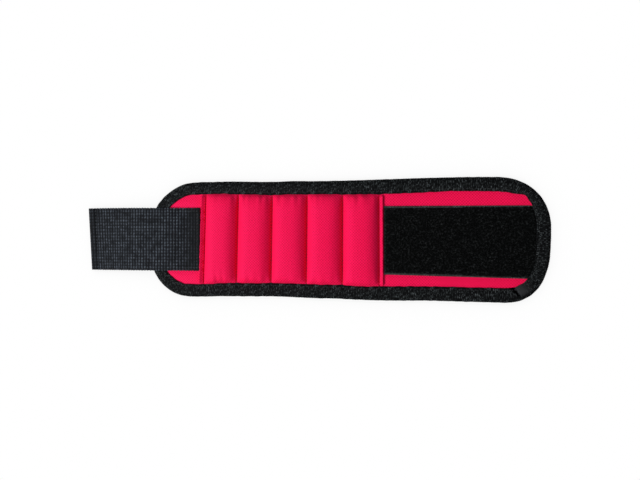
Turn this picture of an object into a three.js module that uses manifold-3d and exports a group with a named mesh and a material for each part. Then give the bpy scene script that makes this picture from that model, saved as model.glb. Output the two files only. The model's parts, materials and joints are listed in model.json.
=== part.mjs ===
// Magnetic wristband: a padded cloth band with five sewn magnet pockets, bound all round with woven
// tape, and closed by a hook strap at one end that presses onto a loop patch at the other.
//
// Frame: millimetres. The band lies flat on a table with its outer face up: +X runs along it from
// the strap to the loop patch, +Y across it, and +Z up. The origin is the middle of its footprint.
//
// The cloth layers run the whole length of the band. Each is made whole and then divided at the sewn
// lines where the band folds, so that every length between two folds is a body that can turn.

import * as THREE from 'three';
import { mergeVertices } from 'three/addons/utils/BufferGeometryUtils.js';
import Module from 'manifold-3d';

const wasm = await Module();
wasm.setup();

// Magnets and the pockets sewn round them
const MAGNET_DIAMETER = 16;
const MAGNET_THICKNESS = 3;
const MAGNET_EDGE = 0.3;            // chamfer of the plated disc
const MAGNETS_PER_POCKET = 3;
const MAGNET_FIT = 0.25;            // play of a magnet in its foam recess
const POCKET_COUNT = 5;
const POCKET_MARGIN = 6;            // magnet edge to the sewn line on either side
const FOAM_OVER_MAGNET = 1.7;
const FOAM_SIDE = 2.4;              // sewn line to the side of the foam pad
const FOAM_END = 4.5;               // binding to the end of the foam pad
const CROWN_END = 12;               // length over which a pocket's crown comes down at either end
const CROWN_FLAT = 2.3;             // a higher power is flatter along the middle of a pocket
const CROWN_SIDE = 0.7;             // a lower power is steeper at its sewn lines
const CROWN_NOSE = 0.6;             // a lower power is blunter at its ends
const TUCK = 1.3;                   // length over which a cover dives under the binding

// Outline of the band
const BAND_WIDTH = 90;
const LEFT_PANEL = 45;              // band end to the first sewn line
const RIGHT_INNER_PANEL = 61;       // last sewn line to the fold in the loop patch
const RIGHT_OUTER_PANEL = 60;       // that fold to the other band end
const UPPER_RADIUS = 36;            // corners on the upper edge
const LOWER_RADIUS = 32.5;          // corners on the lower edge

// Cloth layers
const LINING = 3;                   // spacer mesh next to the wrist
const CLOTH = 0.6;                  // coated face cloth
const BINDING = 0.8;                // woven tape folded over the edge
const BINDING_FACE = 9.5;           // width of the tape on either face
const BINDING_ROUND = 1.6;          // rounding of the folded tape
const LAYER_GAP = 0.25;             // clearance between one layer and the next
const FIRST_HEM = 2;                // fold of the pocket cloth beyond its first sewn line
const LAST_HEM = 3;                 // and beyond its last one
const HEM_ROOT = 0.6;               // length by which a hem runs into its cover

// Hook and loop closure
const STRAP_WIDTH = 50;
const STRAP = 1.2;
const STRAP_FREE = 56;              // length that stands out past the band
const STRAP_HEM = 5;                // end turned under and sewn
const STRAP_SKEW = 3;               // the cut end is this much out of square
const STRAP_RAMP = 3;               // length over which the strap climbs onto the binding
const DROOP_SHARE = 0.85;           // share of the free length over which the strap comes down
const HOOK = 1.8;
const HOOK_WIDTH = 46;
const HOOK_START = 5.6;             // band end to the hook tape
const LOOP = 2;
const LOOP_WIDTH = 50.5;
const LOOP_DROP = 1.5;              // the patch is sewn on this much below the middle
const TRIM_GAP = 0.8;               // between a hem and the strap or patch beside it

// How far the band folds, in degrees, from flat to closed round a wrist, and how far it opens back
const FIRST_SEAM_CLOSE = 40;
const POCKET_SEAM_CLOSE = 30;
const LAST_SEAM_CLOSE = 57;
const PANEL_FOLD_CLOSE = 77;
const STRAP_CLOSE = 62;
const OPEN_BACK = 10;
const HEM_OPEN = 12;                // slope of a hem, a little more than the band opens back
const FOLD_GAP = 0.4;               // slit between two lengths of a layer
const PANEL_FOLD_HEIGHT = 1;        // the loop panel rolls about a line this far up in its lining

// Fineness of the facets
const CORNER_STEPS = 5;
const ROUND_STEPS = 3;
const MAGNET_SIDES = 20;
const CROWN_COLUMNS = 12;
const PAD_COLUMNS = 8;
const CROWN_ROWS = [0, 0.12, 0.3, 0.55, 1];   // rows in the crown's end, as shares of its length
const DROOP_STEPS = 8;

// Places along the band
const POCKET_PITCH = MAGNET_DIAMETER + 2 * POCKET_MARGIN;
const BAND_LENGTH = LEFT_PANEL + POCKET_COUNT * POCKET_PITCH + RIGHT_INNER_PANEL + RIGHT_OUTER_PANEL;
const STRAP_TIP = -(BAND_LENGTH + STRAP_FREE) / 2;
const BAND_LEFT = STRAP_TIP + STRAP_FREE;
const BAND_RIGHT = BAND_LEFT + BAND_LENGTH;
const FIRST_SEAM = BAND_LEFT + LEFT_PANEL;
const LAST_SEAM = FIRST_SEAM + POCKET_COUNT * POCKET_PITCH;
const PANEL_FOLD = LAST_SEAM + RIGHT_INNER_PANEL;

// Levels above the table
const BELOW_ALL = -1;
const FACE_BOTTOM = LINING + LAYER_GAP;
const FACE_TOP = FACE_BOTTOM + CLOTH;
const TRIM_BOTTOM = FACE_TOP + LAYER_GAP;
const LIP_TOP = TRIM_BOTTOM + BINDING;
const OVER_LIP = LIP_TOP + LAYER_GAP;
const SEAM_TOP = TRIM_BOTTOM + CLOTH;
const MAGNET_TOP = TRIM_BOTTOM + MAGNET_THICKNESS;
const CROWN_TOP = MAGNET_TOP + MAGNET_FIT + FOAM_OVER_MAGNET + LAYER_GAP + CLOTH;
const ABOVE_ALL = CROWN_TOP + HOOK + STRAP;

// Places across the band
const HALF_WIDTH = BAND_WIDTH / 2;
const POCKET_HALF = HALF_WIDTH - BINDING_FACE - LAYER_GAP;
const BACKING_HALF = POCKET_HALF - TUCK - LAYER_GAP;
const PAD_HALF = POCKET_HALF - FOAM_END;
const EDGE_INSET = BINDING + LAYER_GAP;
const LIP_INSET = BINDING_FACE + LAYER_GAP;

const degrees = THREE.MathUtils.degToRad;

// Finishes
const finish = (color, roughness, metalness = 0) =>
  new THREE.MeshStandardMaterial({ color, roughness, metalness });
const RED_CLOTH = finish(0xd8123f, 0.75);
const BLACK_MESH = finish(0x1a1b1e, 0.9);
const BLACK_TAPE = finish(0x1c1e20, 0.7);
const BLACK_WEBBING = finish(0x202227, 0.6);
const BLACK_LOOP = finish(0x0d0e0f, 0.95);
const BLACK_HOOK = finish(0x16171a, 0.5);
const WHITE_FOAM = finish(0xe6e3da, 0.95);
const NICKEL = finish(0xc9c8c4, 0.25, 1);

const wristband = new THREE.Group();

function addPiece(name, geometry, material) {
  const mesh = new THREE.Mesh(geometry, material);
  mesh.name = name;
  wristband.add(mesh);
}

// Closed meshes in and out of the boolean library

function toSolid(geometry) {
  const bare = geometry.clone();
  bare.deleteAttribute('normal');
  bare.deleteAttribute('uv');
  const merged = mergeVertices(bare, 1e-4);
  return new wasm.Manifold(new wasm.Mesh({
    numProp: 3,
    vertProperties: new Float32Array(merged.attributes.position.array),
    triVerts: new Uint32Array(merged.index.array),
  }));
}

function toGeometry(solid) {
  const { vertProperties, triVerts } = solid.getMesh();
  const geometry = new THREE.BufferGeometry();
  geometry.setAttribute('position', new THREE.BufferAttribute(vertProperties, 3));
  geometry.setIndex(new THREE.BufferAttribute(triVerts, 1));
  const faceted = geometry.toNonIndexed();
  faceted.computeVertexNormals();
  return faceted;
}

// Basic forms

// The band's outline, drawn in by an inset from its edge
function outline(inset) {
  const left = BAND_LEFT + inset;
  const right = BAND_RIGHT - inset;
  const half = HALF_WIDTH - inset;
  const upper = UPPER_RADIUS - inset;
  const lower = LOWER_RADIUS - inset;
  const shape = new THREE.Shape();
  shape.absarc(left + lower, -half + lower, lower, Math.PI, 1.5 * Math.PI);
  shape.absarc(right - lower, -half + lower, lower, 1.5 * Math.PI, 2 * Math.PI);
  shape.absarc(right - upper, half - upper, upper, 0, 0.5 * Math.PI);
  shape.absarc(left + upper, half - upper, upper, 0.5 * Math.PI, Math.PI);
  shape.closePath();
  return shape;
}

// A flat plate of a shape, between two levels
function plate(shape, bottom, top) {
  const geometry = new THREE.ExtrudeGeometry(shape, {
    depth: top - bottom, bevelEnabled: false, curveSegments: CORNER_STEPS,
  });
  return toSolid(geometry.translate(0, 0, bottom));
}

function rectangle(left, right, low, high) {
  const shape = new THREE.Shape();
  shape.moveTo(left, low);
  shape.lineTo(right, low);
  shape.lineTo(right, high);
  shape.lineTo(left, high);
  shape.closePath();
  return shape;
}

// A side profile in X and Z, drawn out across the band to a width
function across(shape, width) {
  const geometry = new THREE.ExtrudeGeometry(shape, {
    depth: width, bevelEnabled: false, curveSegments: CORNER_STEPS,
  });
  return toSolid(geometry.rotateX(Math.PI / 2).translate(0, width / 2, 0));
}

// A thin or thick quilted sheet: a grid of points with a top and a bottom level at each
function quilt(columns, rows, top, bottom) {
  const positions = [];
  const triangles = [];
  const wide = columns.length;
  const count = wide * rows.length;
  for (const level of [top, bottom]) {
    for (const y of rows) {
      for (const x of columns) {
        positions.push(x, y, level(x, y));
      }
    }
  }
  const quad = (a, b, c, d) => triangles.push(a, b, c, a, c, d);
  for (let row = 0; row + 1 < rows.length; row += 1) {
    for (let column = 0; column + 1 < wide; column += 1) {
      const corner = row * wide + column;
      quad(corner, corner + 1, corner + wide + 1, corner + wide);
      quad(count + corner + wide, count + corner + wide + 1, count + corner + 1, count + corner);
    }
    const start = row * wide;
    const end = start + wide - 1;
    quad(start, start + wide, count + start + wide, count + start);
    quad(count + end, count + end + wide, end + wide, end);
  }
  for (let column = 0; column + 1 < wide; column += 1) {
    const far = count - wide + column;
    quad(count + column, count + column + 1, column + 1, column);
    quad(far, far + 1, count + far + 1, count + far);
  }
  const geometry = new THREE.BufferGeometry();
  geometry.setAttribute('position', new THREE.Float32BufferAttribute(positions, 3));
  geometry.setIndex(triangles);
  return toSolid(geometry);
}

// Folds: each is a line across the band, at a height, with the angles that it closes and opens by

const folds = [{ x: FIRST_SEAM, z: FACE_TOP, close: FIRST_SEAM_CLOSE }];
for (let seam = 1; seam < POCKET_COUNT; seam += 1) {
  folds.push({ x: FIRST_SEAM + seam * POCKET_PITCH, z: FACE_TOP, close: POCKET_SEAM_CLOSE });
}
folds.push({ x: LAST_SEAM, z: FACE_TOP, close: LAST_SEAM_CLOSE });
folds.push({ x: PANEL_FOLD, z: PANEL_FOLD_HEIGHT, close: PANEL_FOLD_CLOSE });

// The room that one length of the band has between its folds. Each side leans back below the fold
// line by half the closing angle, and above it by half the opening angle.
function roomBetween(leftFold, rightFold) {
  const low = BELOW_ALL;
  const high = ABOVE_ALL;
  const setBack = (fold, level) => {
    const angle = level < fold.z ? fold.close : OPEN_BACK;
    return FOLD_GAP / 2 + Math.abs(level - fold.z) * Math.tan(degrees(angle / 2));
  };
  const shape = new THREE.Shape();
  if (leftFold) {
    shape.moveTo(leftFold.x + setBack(leftFold, high), high);
    shape.lineTo(leftFold.x + FOLD_GAP / 2, leftFold.z);
    shape.lineTo(leftFold.x + setBack(leftFold, low), low);
  } else {
    shape.moveTo(STRAP_TIP, high);
    shape.lineTo(STRAP_TIP, low);
  }
  if (rightFold) {
    shape.lineTo(rightFold.x - setBack(rightFold, low), low);
    shape.lineTo(rightFold.x - FOLD_GAP / 2, rightFold.z);
    shape.lineTo(rightFold.x - setBack(rightFold, high), high);
  } else {
    shape.lineTo(BAND_RIGHT + BINDING_FACE, low);
    shape.lineTo(BAND_RIGHT + BINDING_FACE, high);
  }
  shape.closePath();
  return across(shape, 2 * BAND_WIDTH);
}

const rooms = [];
for (let index = 0; index <= folds.length; index += 1) {
  rooms.push(roomBetween(folds[index - 1], folds[index]));
}
const LEFT_ROOM = 0;
const INNER_ROOM = POCKET_COUNT + 1;
const OUTER_ROOM = POCKET_COUNT + 2;
const pocketNumbers = Array.from({ length: POCKET_COUNT }, (unused, index) => index + 1);

// Lining: spacer mesh, pressed thinner under the binding so that both lie on the table

const lining = plate(outline(LIP_INSET), 0, LINING)
  .add(plate(outline(EDGE_INSET), EDGE_INSET, LINING));

addPiece('left_lining', toGeometry(lining.intersect(rooms[LEFT_ROOM])), BLACK_MESH);
for (const pocket of pocketNumbers) {
  addPiece(`pocket_lining_${pocket}`, toGeometry(lining.intersect(rooms[pocket])), BLACK_MESH);
}
addPiece('inner_lining', toGeometry(lining.intersect(rooms[INNER_ROOM])), BLACK_MESH);
addPiece('outer_lining', toGeometry(lining.intersect(rooms[OUTER_ROOM])), BLACK_MESH);

// Face cloth: full width at both ends, and a narrower backing behind the pockets

const face = plate(outline(EDGE_INSET), FACE_BOTTOM, FACE_TOP);
const backing = plate(rectangle(FIRST_SEAM, LAST_SEAM, -BACKING_HALF, BACKING_HALF), FACE_BOTTOM, FACE_TOP);

addPiece('left_face_panel', toGeometry(face.intersect(rooms[LEFT_ROOM])), RED_CLOTH);
for (const pocket of pocketNumbers) {
  addPiece(`pocket_backing_${pocket}`, toGeometry(backing.intersect(rooms[pocket])), RED_CLOTH);
}
addPiece('inner_face_panel', toGeometry(face.intersect(rooms[INNER_ROOM])), RED_CLOTH);
addPiece('outer_face_panel', toGeometry(face.intersect(rooms[OUTER_ROOM])), RED_CLOTH);

// Edge binding: tape folded over the edge of every layer, with a rounded back

const roundedBand = toSolid(new THREE.ExtrudeGeometry(outline(0), {
  depth: LIP_TOP - 2 * BINDING_ROUND,
  bevelEnabled: true,
  bevelThickness: BINDING_ROUND,
  bevelSize: BINDING_ROUND,
  bevelOffset: -BINDING_ROUND,
  bevelSegments: ROUND_STEPS,
  curveSegments: CORNER_STEPS,
}).translate(0, 0, BINDING_ROUND));
const binding = roundedBand
  .subtract(plate(outline(BINDING), BINDING, TRIM_BOTTOM))
  .subtract(plate(outline(BINDING_FACE), BELOW_ALL, ABOVE_ALL));

// The lengths of binding in one room, the upper edge of the band first
function bindingIn(room) {
  const middle = (solid) => (solid.boundingBox().min[1] + solid.boundingBox().max[1]) / 2;
  return binding.intersect(rooms[room]).decompose().sort((a, b) => middle(b) - middle(a));
}

addPiece('left_end_binding', toGeometry(bindingIn(LEFT_ROOM)[0]), BLACK_TAPE);
for (const pocket of pocketNumbers) {
  const [upper, lower] = bindingIn(pocket);
  addPiece(`upper_binding_${pocket}`, toGeometry(upper), BLACK_TAPE);
  addPiece(`lower_binding_${pocket}`, toGeometry(lower), BLACK_TAPE);
}
const [innerUpper, innerLower] = bindingIn(INNER_ROOM);
addPiece('inner_upper_binding', toGeometry(innerUpper), BLACK_TAPE);
addPiece('inner_lower_binding', toGeometry(innerLower), BLACK_TAPE);
addPiece('right_end_binding', toGeometry(bindingIn(OUTER_ROOM)[0]), BLACK_TAPE);

// Pockets: a crowned cover drawn in at its sewn lines and tucked under the binding at both ends, a
// foam pad under it, and a row of disc magnets in recesses of the pad

// Rise of a cover over its sewn level: full along the middle, none at the sewn lines and ends
function crown(fromMiddle, y) {
  const aside = Math.min(1, Math.abs(fromMiddle) / (POCKET_PITCH / 2 - FOLD_GAP / 2));
  const fromEnd = Math.max(0, Math.min(1, (POCKET_HALF - Math.abs(y)) / CROWN_END));
  const roundAcross = (1 - aside ** CROWN_FLAT) ** CROWN_SIDE;
  const roundEnd = (1 - (1 - fromEnd) ** 2) ** CROWN_NOSE;
  return (CROWN_TOP - SEAM_TOP) * roundAcross * roundEnd;
}

// Top of a cover, which dives from its sewn level to the level of the face cloth under the binding
function coverTop(fromMiddle, y) {
  const tucked = Math.max(0, Math.min(1, (POCKET_HALF - Math.abs(y)) / TUCK));
  return FACE_TOP + (SEAM_TOP - FACE_TOP) * tucked + crown(fromMiddle, y);
}

// Points between two ends, closer together towards the ends
function crowded(low, high, count) {
  const points = [];
  for (let step = 0; step <= count; step += 1) {
    const share = Math.sin((step / count - 0.5) * Math.PI);
    points.push((low + high) / 2 + share * (high - low) / 2);
  }
  return points;
}

// Rows of a cover: its tucked edges, the dive, the crown's ends and its long middle
const crownRows = CROWN_ROWS.map((share) => POCKET_HALF - TUCK - share * (CROWN_END - TUCK));
const halfRows = [HALF_WIDTH - EDGE_INSET, POCKET_HALF, ...crownRows, (POCKET_HALF - CROWN_END) / 2];
const coverRows = [...halfRows.map((y) => -y), 0, ...halfRows.toReversed()];

// Fold of the pocket cloth beyond an outer sewn line. It rises away from the line, so that the band
// can bend back, and runs from just inside the cover to a round edge.
function hem(seam, side, width) {
  const rise = (width + FOLD_GAP) * Math.tan(degrees(HEM_OPEN));
  const edge = seam + side * width;
  const root = seam - side * HEM_ROOT;
  const shape = new THREE.Shape();
  shape.moveTo(root, TRIM_BOTTOM);
  shape.lineTo(edge - side * CLOTH, TRIM_BOTTOM + rise);
  shape.quadraticCurveTo(edge, TRIM_BOTTOM + rise, edge, TRIM_BOTTOM + rise + CLOTH / 2);
  shape.quadraticCurveTo(edge, SEAM_TOP + rise, edge - side * CLOTH, SEAM_TOP + rise);
  shape.lineTo(root, SEAM_TOP);
  shape.closePath();
  return across(shape, 2 * (POCKET_HALF - TUCK));
}

function disc(radius, bottom, top, chamfer, sides) {
  const profile = [
    new THREE.Vector2(0, bottom),
    new THREE.Vector2(radius - chamfer, bottom),
    new THREE.Vector2(radius, bottom + chamfer),
    new THREE.Vector2(radius, top - chamfer),
    new THREE.Vector2(radius - chamfer, top),
    new THREE.Vector2(0, top),
  ];
  return new THREE.LatheGeometry(profile, sides).rotateX(Math.PI / 2);
}

// Places of a pocket's magnets across the band, spread over its pad
function magnetPlaces() {
  const edge = PAD_HALF - MAGNET_DIAMETER / 2 - MAGNET_FIT - CLOTH;
  const step = (2 * edge) / (MAGNETS_PER_POCKET - 1);
  return Array.from({ length: MAGNETS_PER_POCKET }, (unused, index) => index * step - edge);
}

for (const pocket of pocketNumbers) {
  const left = FIRST_SEAM + (pocket - 1) * POCKET_PITCH;
  const middle = left + POCKET_PITCH / 2;
  const right = left + POCKET_PITCH;

  const columns = crowded(left + FOLD_GAP / 2, right - FOLD_GAP / 2, CROWN_COLUMNS);
  let cover = quilt(
    columns,
    coverRows,
    (x, y) => coverTop(x - middle, y),
    (x, y) => coverTop(x - middle, y) - CLOTH,
  );
  if (pocket === 1) {
    cover = cover.add(hem(FIRST_SEAM, -1, FIRST_HEM));
  }
  if (pocket === POCKET_COUNT) {
    cover = cover.add(hem(LAST_SEAM, 1, LAST_HEM));
  }
  addPiece(`pocket_cover_${pocket}`, toGeometry(cover), RED_CLOTH);

  const padColumns = crowded(left + FOAM_SIDE, right - FOAM_SIDE, PAD_COLUMNS);
  const padRows = coverRows.filter((y) => Math.abs(y) < PAD_HALF);
  let pad = quilt(
    padColumns,
    [-PAD_HALF, ...padRows, PAD_HALF],
    (x, y) => coverTop(x - middle, y) - CLOTH - LAYER_GAP,
    () => TRIM_BOTTOM,
  );
  magnetPlaces().forEach((y, index) => {
    const recess = new THREE.CylinderGeometry(
      MAGNET_DIAMETER / 2 + MAGNET_FIT,
      MAGNET_DIAMETER / 2 + MAGNET_FIT,
      2 * (MAGNET_THICKNESS + MAGNET_FIT),
      MAGNET_SIDES,
    );
    pad = pad.subtract(toSolid(recess.rotateX(Math.PI / 2).translate(middle, y, TRIM_BOTTOM)));
    const magnet = disc(MAGNET_DIAMETER / 2, TRIM_BOTTOM, MAGNET_TOP, MAGNET_EDGE, MAGNET_SIDES);
    addPiece(`magnet_${pocket}_${index + 1}`, magnet.translate(middle, y, 0), NICKEL);
  });
  addPiece(`foam_pad_${pocket}`, toGeometry(pad), WHITE_FOAM);
}

// Loop patch: trimmed to the curve of the binding, and divided where its panel folds

const loopMiddle = -LOOP_DROP;
const loopLeft = LAST_SEAM + LAST_HEM + TRIM_GAP;
const loopShape = rectangle(loopLeft, BAND_RIGHT, loopMiddle - LOOP_WIDTH / 2, loopMiddle + LOOP_WIDTH / 2);
const loopPatch = plate(loopShape, TRIM_BOTTOM, TRIM_BOTTOM + LOOP)
  .intersect(plate(outline(LIP_INSET), 0, ABOVE_ALL));
addPiece('inner_loop_patch', toGeometry(loopPatch.intersect(rooms[INNER_ROOM])), BLACK_LOOP);
addPiece('outer_loop_patch', toGeometry(loopPatch.intersect(rooms[OUTER_ROOM])), BLACK_LOOP);

// Hook strap: sewn down on the left panel, over the binding, and free past the band, where it
// droops to the table. It folds at its upper face, over the end of the band.

const strapFold = BAND_LEFT - FOLD_GAP;
const strapFoldLean = STRAP * Math.tan(degrees(STRAP_CLOSE / 2)) + FOLD_GAP / 2;
const cornerRise = STRAP_WIDTH / 2 - (HALF_WIDTH - UPPER_RADIUS);
const lipAtStrapEdge = BAND_LEFT + UPPER_RADIUS
  - Math.sqrt((UPPER_RADIUS - BINDING_FACE) ** 2 - cornerRise ** 2);
const rampTop = lipAtStrapEdge + LAYER_GAP + STRAP;
const rampFoot = rampTop + STRAP_RAMP;

const sewnProfile = new THREE.Shape();
sewnProfile.moveTo(FIRST_SEAM - FIRST_HEM - TRIM_GAP, TRIM_BOTTOM);
sewnProfile.lineTo(FIRST_SEAM - FIRST_HEM - TRIM_GAP, TRIM_BOTTOM + STRAP);
sewnProfile.lineTo(rampFoot, TRIM_BOTTOM + STRAP);
sewnProfile.lineTo(rampTop, OVER_LIP + STRAP);
sewnProfile.lineTo(strapFold + FOLD_GAP / 2, OVER_LIP + STRAP);
sewnProfile.lineTo(strapFold + strapFoldLean, OVER_LIP);
sewnProfile.lineTo(rampTop, OVER_LIP);
sewnProfile.lineTo(rampFoot, TRIM_BOTTOM);
sewnProfile.closePath();
addPiece('sewn_strap', toGeometry(across(sewnProfile, STRAP_WIDTH)), BLACK_WEBBING);

// Underside of the free strap, in an easy S from the top of the binding to just above the table
const tipLevel = HOOK + LAYER_GAP;
function droop(x) {
  const along = THREE.MathUtils.clamp((strapFold - strapFoldLean - x) / STRAP_FREE, 0, 1);
  return OVER_LIP - (OVER_LIP - tipLevel) * THREE.MathUtils.smoothstep(along, 0, DROOP_SHARE);
}

function spread(from, to) {
  return Array.from({ length: DROOP_STEPS + 1 }, (unused, step) => from + (to - from) * step / DROOP_STEPS);
}

const hemStart = STRAP_TIP + STRAP_HEM;
const freeProfile = new THREE.Shape();
freeProfile.moveTo(strapFold - FOLD_GAP / 2, OVER_LIP + STRAP);
for (const x of spread(strapFold - strapFoldLean, STRAP_TIP)) {
  freeProfile.lineTo(x, droop(x) + STRAP);
}
freeProfile.lineTo(STRAP_TIP, droop(STRAP_TIP) - STRAP);
freeProfile.lineTo(hemStart, droop(hemStart) - STRAP);
for (const x of spread(hemStart, strapFold - strapFoldLean)) {
  freeProfile.lineTo(x, droop(x));
}
freeProfile.closePath();

const skewedCut = new THREE.Shape();
skewedCut.moveTo(STRAP_TIP, STRAP_WIDTH / 2);
skewedCut.lineTo(STRAP_TIP + STRAP_SKEW, -STRAP_WIDTH / 2);
skewedCut.lineTo(BAND_LEFT, -STRAP_WIDTH / 2);
skewedCut.lineTo(BAND_LEFT, STRAP_WIDTH / 2);
skewedCut.closePath();
const freeStrap = across(freeProfile, STRAP_WIDTH).intersect(plate(skewedCut, BELOW_ALL, ABOVE_ALL));
addPiece('free_strap', toGeometry(freeStrap), BLACK_WEBBING);

// Hook tape under the free strap, between the band end and the turned-under hem
const hookProfile = new THREE.Shape();
const hookRight = BAND_LEFT - HOOK_START;
const hookLeft = hemStart + TRIM_GAP;
hookProfile.moveTo(hookRight, droop(hookRight) - LAYER_GAP - HOOK);
for (const x of spread(hookRight, hookLeft)) {
  hookProfile.lineTo(x, droop(x) - LAYER_GAP);
}
for (const x of spread(hookLeft, hookRight)) {
  hookProfile.lineTo(x, droop(x) - LAYER_GAP - HOOK);
}
hookProfile.closePath();
addPiece('hook_tape', toGeometry(across(hookProfile, HOOK_WIDTH)), BLACK_HOOK);

export default wristband;
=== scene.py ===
# %% [markdown]
# # A magnetic wristband
# A padded cloth band carries five sewn pockets of disc magnets, and closes round a wrist with a hook
# strap and a loop patch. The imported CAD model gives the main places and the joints. This lesson dresses
# it: first the view and the light, then the finishes, then the cloth layers and what fills the pockets,
# and last the closure and the stitches.

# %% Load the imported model
import json
import math

import bmesh
import bpy
import numpy as np
from mathutils import Matrix, Vector

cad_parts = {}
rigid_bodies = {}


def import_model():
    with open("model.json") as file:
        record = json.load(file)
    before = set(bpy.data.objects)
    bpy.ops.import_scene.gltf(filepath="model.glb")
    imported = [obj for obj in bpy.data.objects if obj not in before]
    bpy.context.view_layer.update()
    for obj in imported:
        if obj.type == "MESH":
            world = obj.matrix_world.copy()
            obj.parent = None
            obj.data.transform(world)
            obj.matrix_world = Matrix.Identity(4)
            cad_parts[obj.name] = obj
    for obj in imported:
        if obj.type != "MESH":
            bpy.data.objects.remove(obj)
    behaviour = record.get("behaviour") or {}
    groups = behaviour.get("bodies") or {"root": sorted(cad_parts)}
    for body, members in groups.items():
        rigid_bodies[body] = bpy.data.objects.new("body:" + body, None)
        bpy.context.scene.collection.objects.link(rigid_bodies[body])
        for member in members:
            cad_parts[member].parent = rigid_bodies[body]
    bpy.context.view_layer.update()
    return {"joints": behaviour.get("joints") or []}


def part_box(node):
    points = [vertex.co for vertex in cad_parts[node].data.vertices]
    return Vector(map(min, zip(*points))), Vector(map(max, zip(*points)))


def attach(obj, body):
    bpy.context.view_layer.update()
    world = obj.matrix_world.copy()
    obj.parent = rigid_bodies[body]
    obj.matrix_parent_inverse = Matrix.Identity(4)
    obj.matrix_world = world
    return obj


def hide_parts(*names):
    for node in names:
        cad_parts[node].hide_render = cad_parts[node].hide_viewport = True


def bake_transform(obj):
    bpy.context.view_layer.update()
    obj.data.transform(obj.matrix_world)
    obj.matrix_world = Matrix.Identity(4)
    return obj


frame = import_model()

MM = 0.001
scene = bpy.context.scene

# %% [markdown]
# ## Camera
# The photograph looks almost straight down, from a little to the right of the middle, so that the loop
# patch end is nearer and larger than the strap end. A camera is easiest to reason about as a place and
# a target. The usual track helper needs a world that stands upright, so here the three axes of the
# camera are worked out by hand, with the picture's top along +Y.

# %% Camera
CAMERA_PLACE = Vector((83.6, -6.3, 378.8)) * MM
CAMERA_TARGET = Vector((15.1, -0.8, 4.0)) * MM
CAMERA_LENS = 28

camera_data = bpy.data.cameras.new("camera")
camera_data.lens = CAMERA_LENS
camera_data.clip_start = 0.01
camera = bpy.data.objects.new("camera", camera_data)
scene.collection.objects.link(camera)
back = (CAMERA_PLACE - CAMERA_TARGET).normalized()
right = Vector((0, 1, 0)).cross(back).normalized()
up = back.cross(right)
camera.matrix_world = Matrix.Translation(CAMERA_PLACE) @ Matrix((right, up, back)).transposed().to_4x4()
scene.camera = camera
print("camera is", round((CAMERA_PLACE - CAMERA_TARGET).length / MM), "mm from its target")

# %% [markdown]
# ## Colours and nodes
# Colours are written as the hex values that a picture editor shows, and Blender's shaders work in
# linear light, so one function converts them. Every node tree below, for shaders and for geometry, is
# built with one small helper that adds a node, sets its options, and fills or links its inputs.

# %% Helpers for colours and nodes


def linear(hex_colour):
    """An sRGB hex colour as linear red, green, blue and alpha."""
    channels = [int(hex_colour[place:place + 2], 16) / 255 for place in (1, 3, 5)]
    curve = [c / 12.92 if c <= 0.04045 else ((c + 0.055) / 1.055) ** 2.4 for c in channels]
    return (*curve, 1.0)


def add_node(tree, kind, inputs=(), **settings):
    """Adds a node. An input takes a value, a socket, or a node, which stands for its first output."""
    node = tree.nodes.new(kind)
    for name, value in settings.items():
        setattr(node, name, value)
    for name, value in dict(inputs).items():
        if isinstance(value, bpy.types.Node):
            value = value.outputs[0]
        if isinstance(value, bpy.types.NodeSocket):
            tree.links.new(value, node.inputs[name])
        else:
            node.inputs[name].default_value = value
    return node


print("crimson in linear light:", [round(c, 3) for c in linear("#E2113F")])

# %% [markdown]
# ## Light
# The photograph is lit softly from the left, so each pocket is bright on its left side and dark on its
# right, and the background is white. The world is white for the camera and dimmer as a light. One large
# lamp on the left, with its place and size in metres, does the shaping.

# %% World and lamp
AMBIENT = 0.22
LAMP_PLACE = Vector((-1.24, -0.38, 1.4))
LAMP_SIZE = 1.0
LAMP_WATTS = 40
scene.view_settings.view_transform = "Standard"
world = bpy.data.worlds.new("studio")
world.use_nodes = True
scene.world = world
tree = world.node_tree
tree.nodes.clear()
ray = add_node(tree, "ShaderNodeLightPath")
seen = add_node(tree, "ShaderNodeMath",
                {0: ray.outputs["Is Camera Ray"], 1: ray.outputs["Is Transmission Ray"]},
                operation="MAXIMUM")
strength = add_node(tree, "ShaderNodeMapRange", {"Value": seen, "To Min": AMBIENT, "To Max": 1.0})
sky = add_node(tree, "ShaderNodeBackground", {"Color": linear("#FFFFFF"), "Strength": strength})
add_node(tree, "ShaderNodeOutputWorld", {"Surface": sky})

lamp_data = bpy.data.lights.new("left_softbox", "AREA")
lamp_data.size = LAMP_SIZE
lamp_data.energy = LAMP_WATTS
lamp = bpy.data.objects.new("left_softbox", lamp_data)
lamp.location = LAMP_PLACE
lamp.rotation_euler = (-LAMP_PLACE).to_track_quat("-Z", "Y").to_euler()
scene.collection.objects.link(lamp)
print("world strength as a light:", AMBIENT)

# %% [markdown]
# ## Floor
# The floor only has to show where the band touches it. A see-through sheet that darkens where something
# is close keeps that contact shadow, and never hides a part of the band that bends below it.

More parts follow.
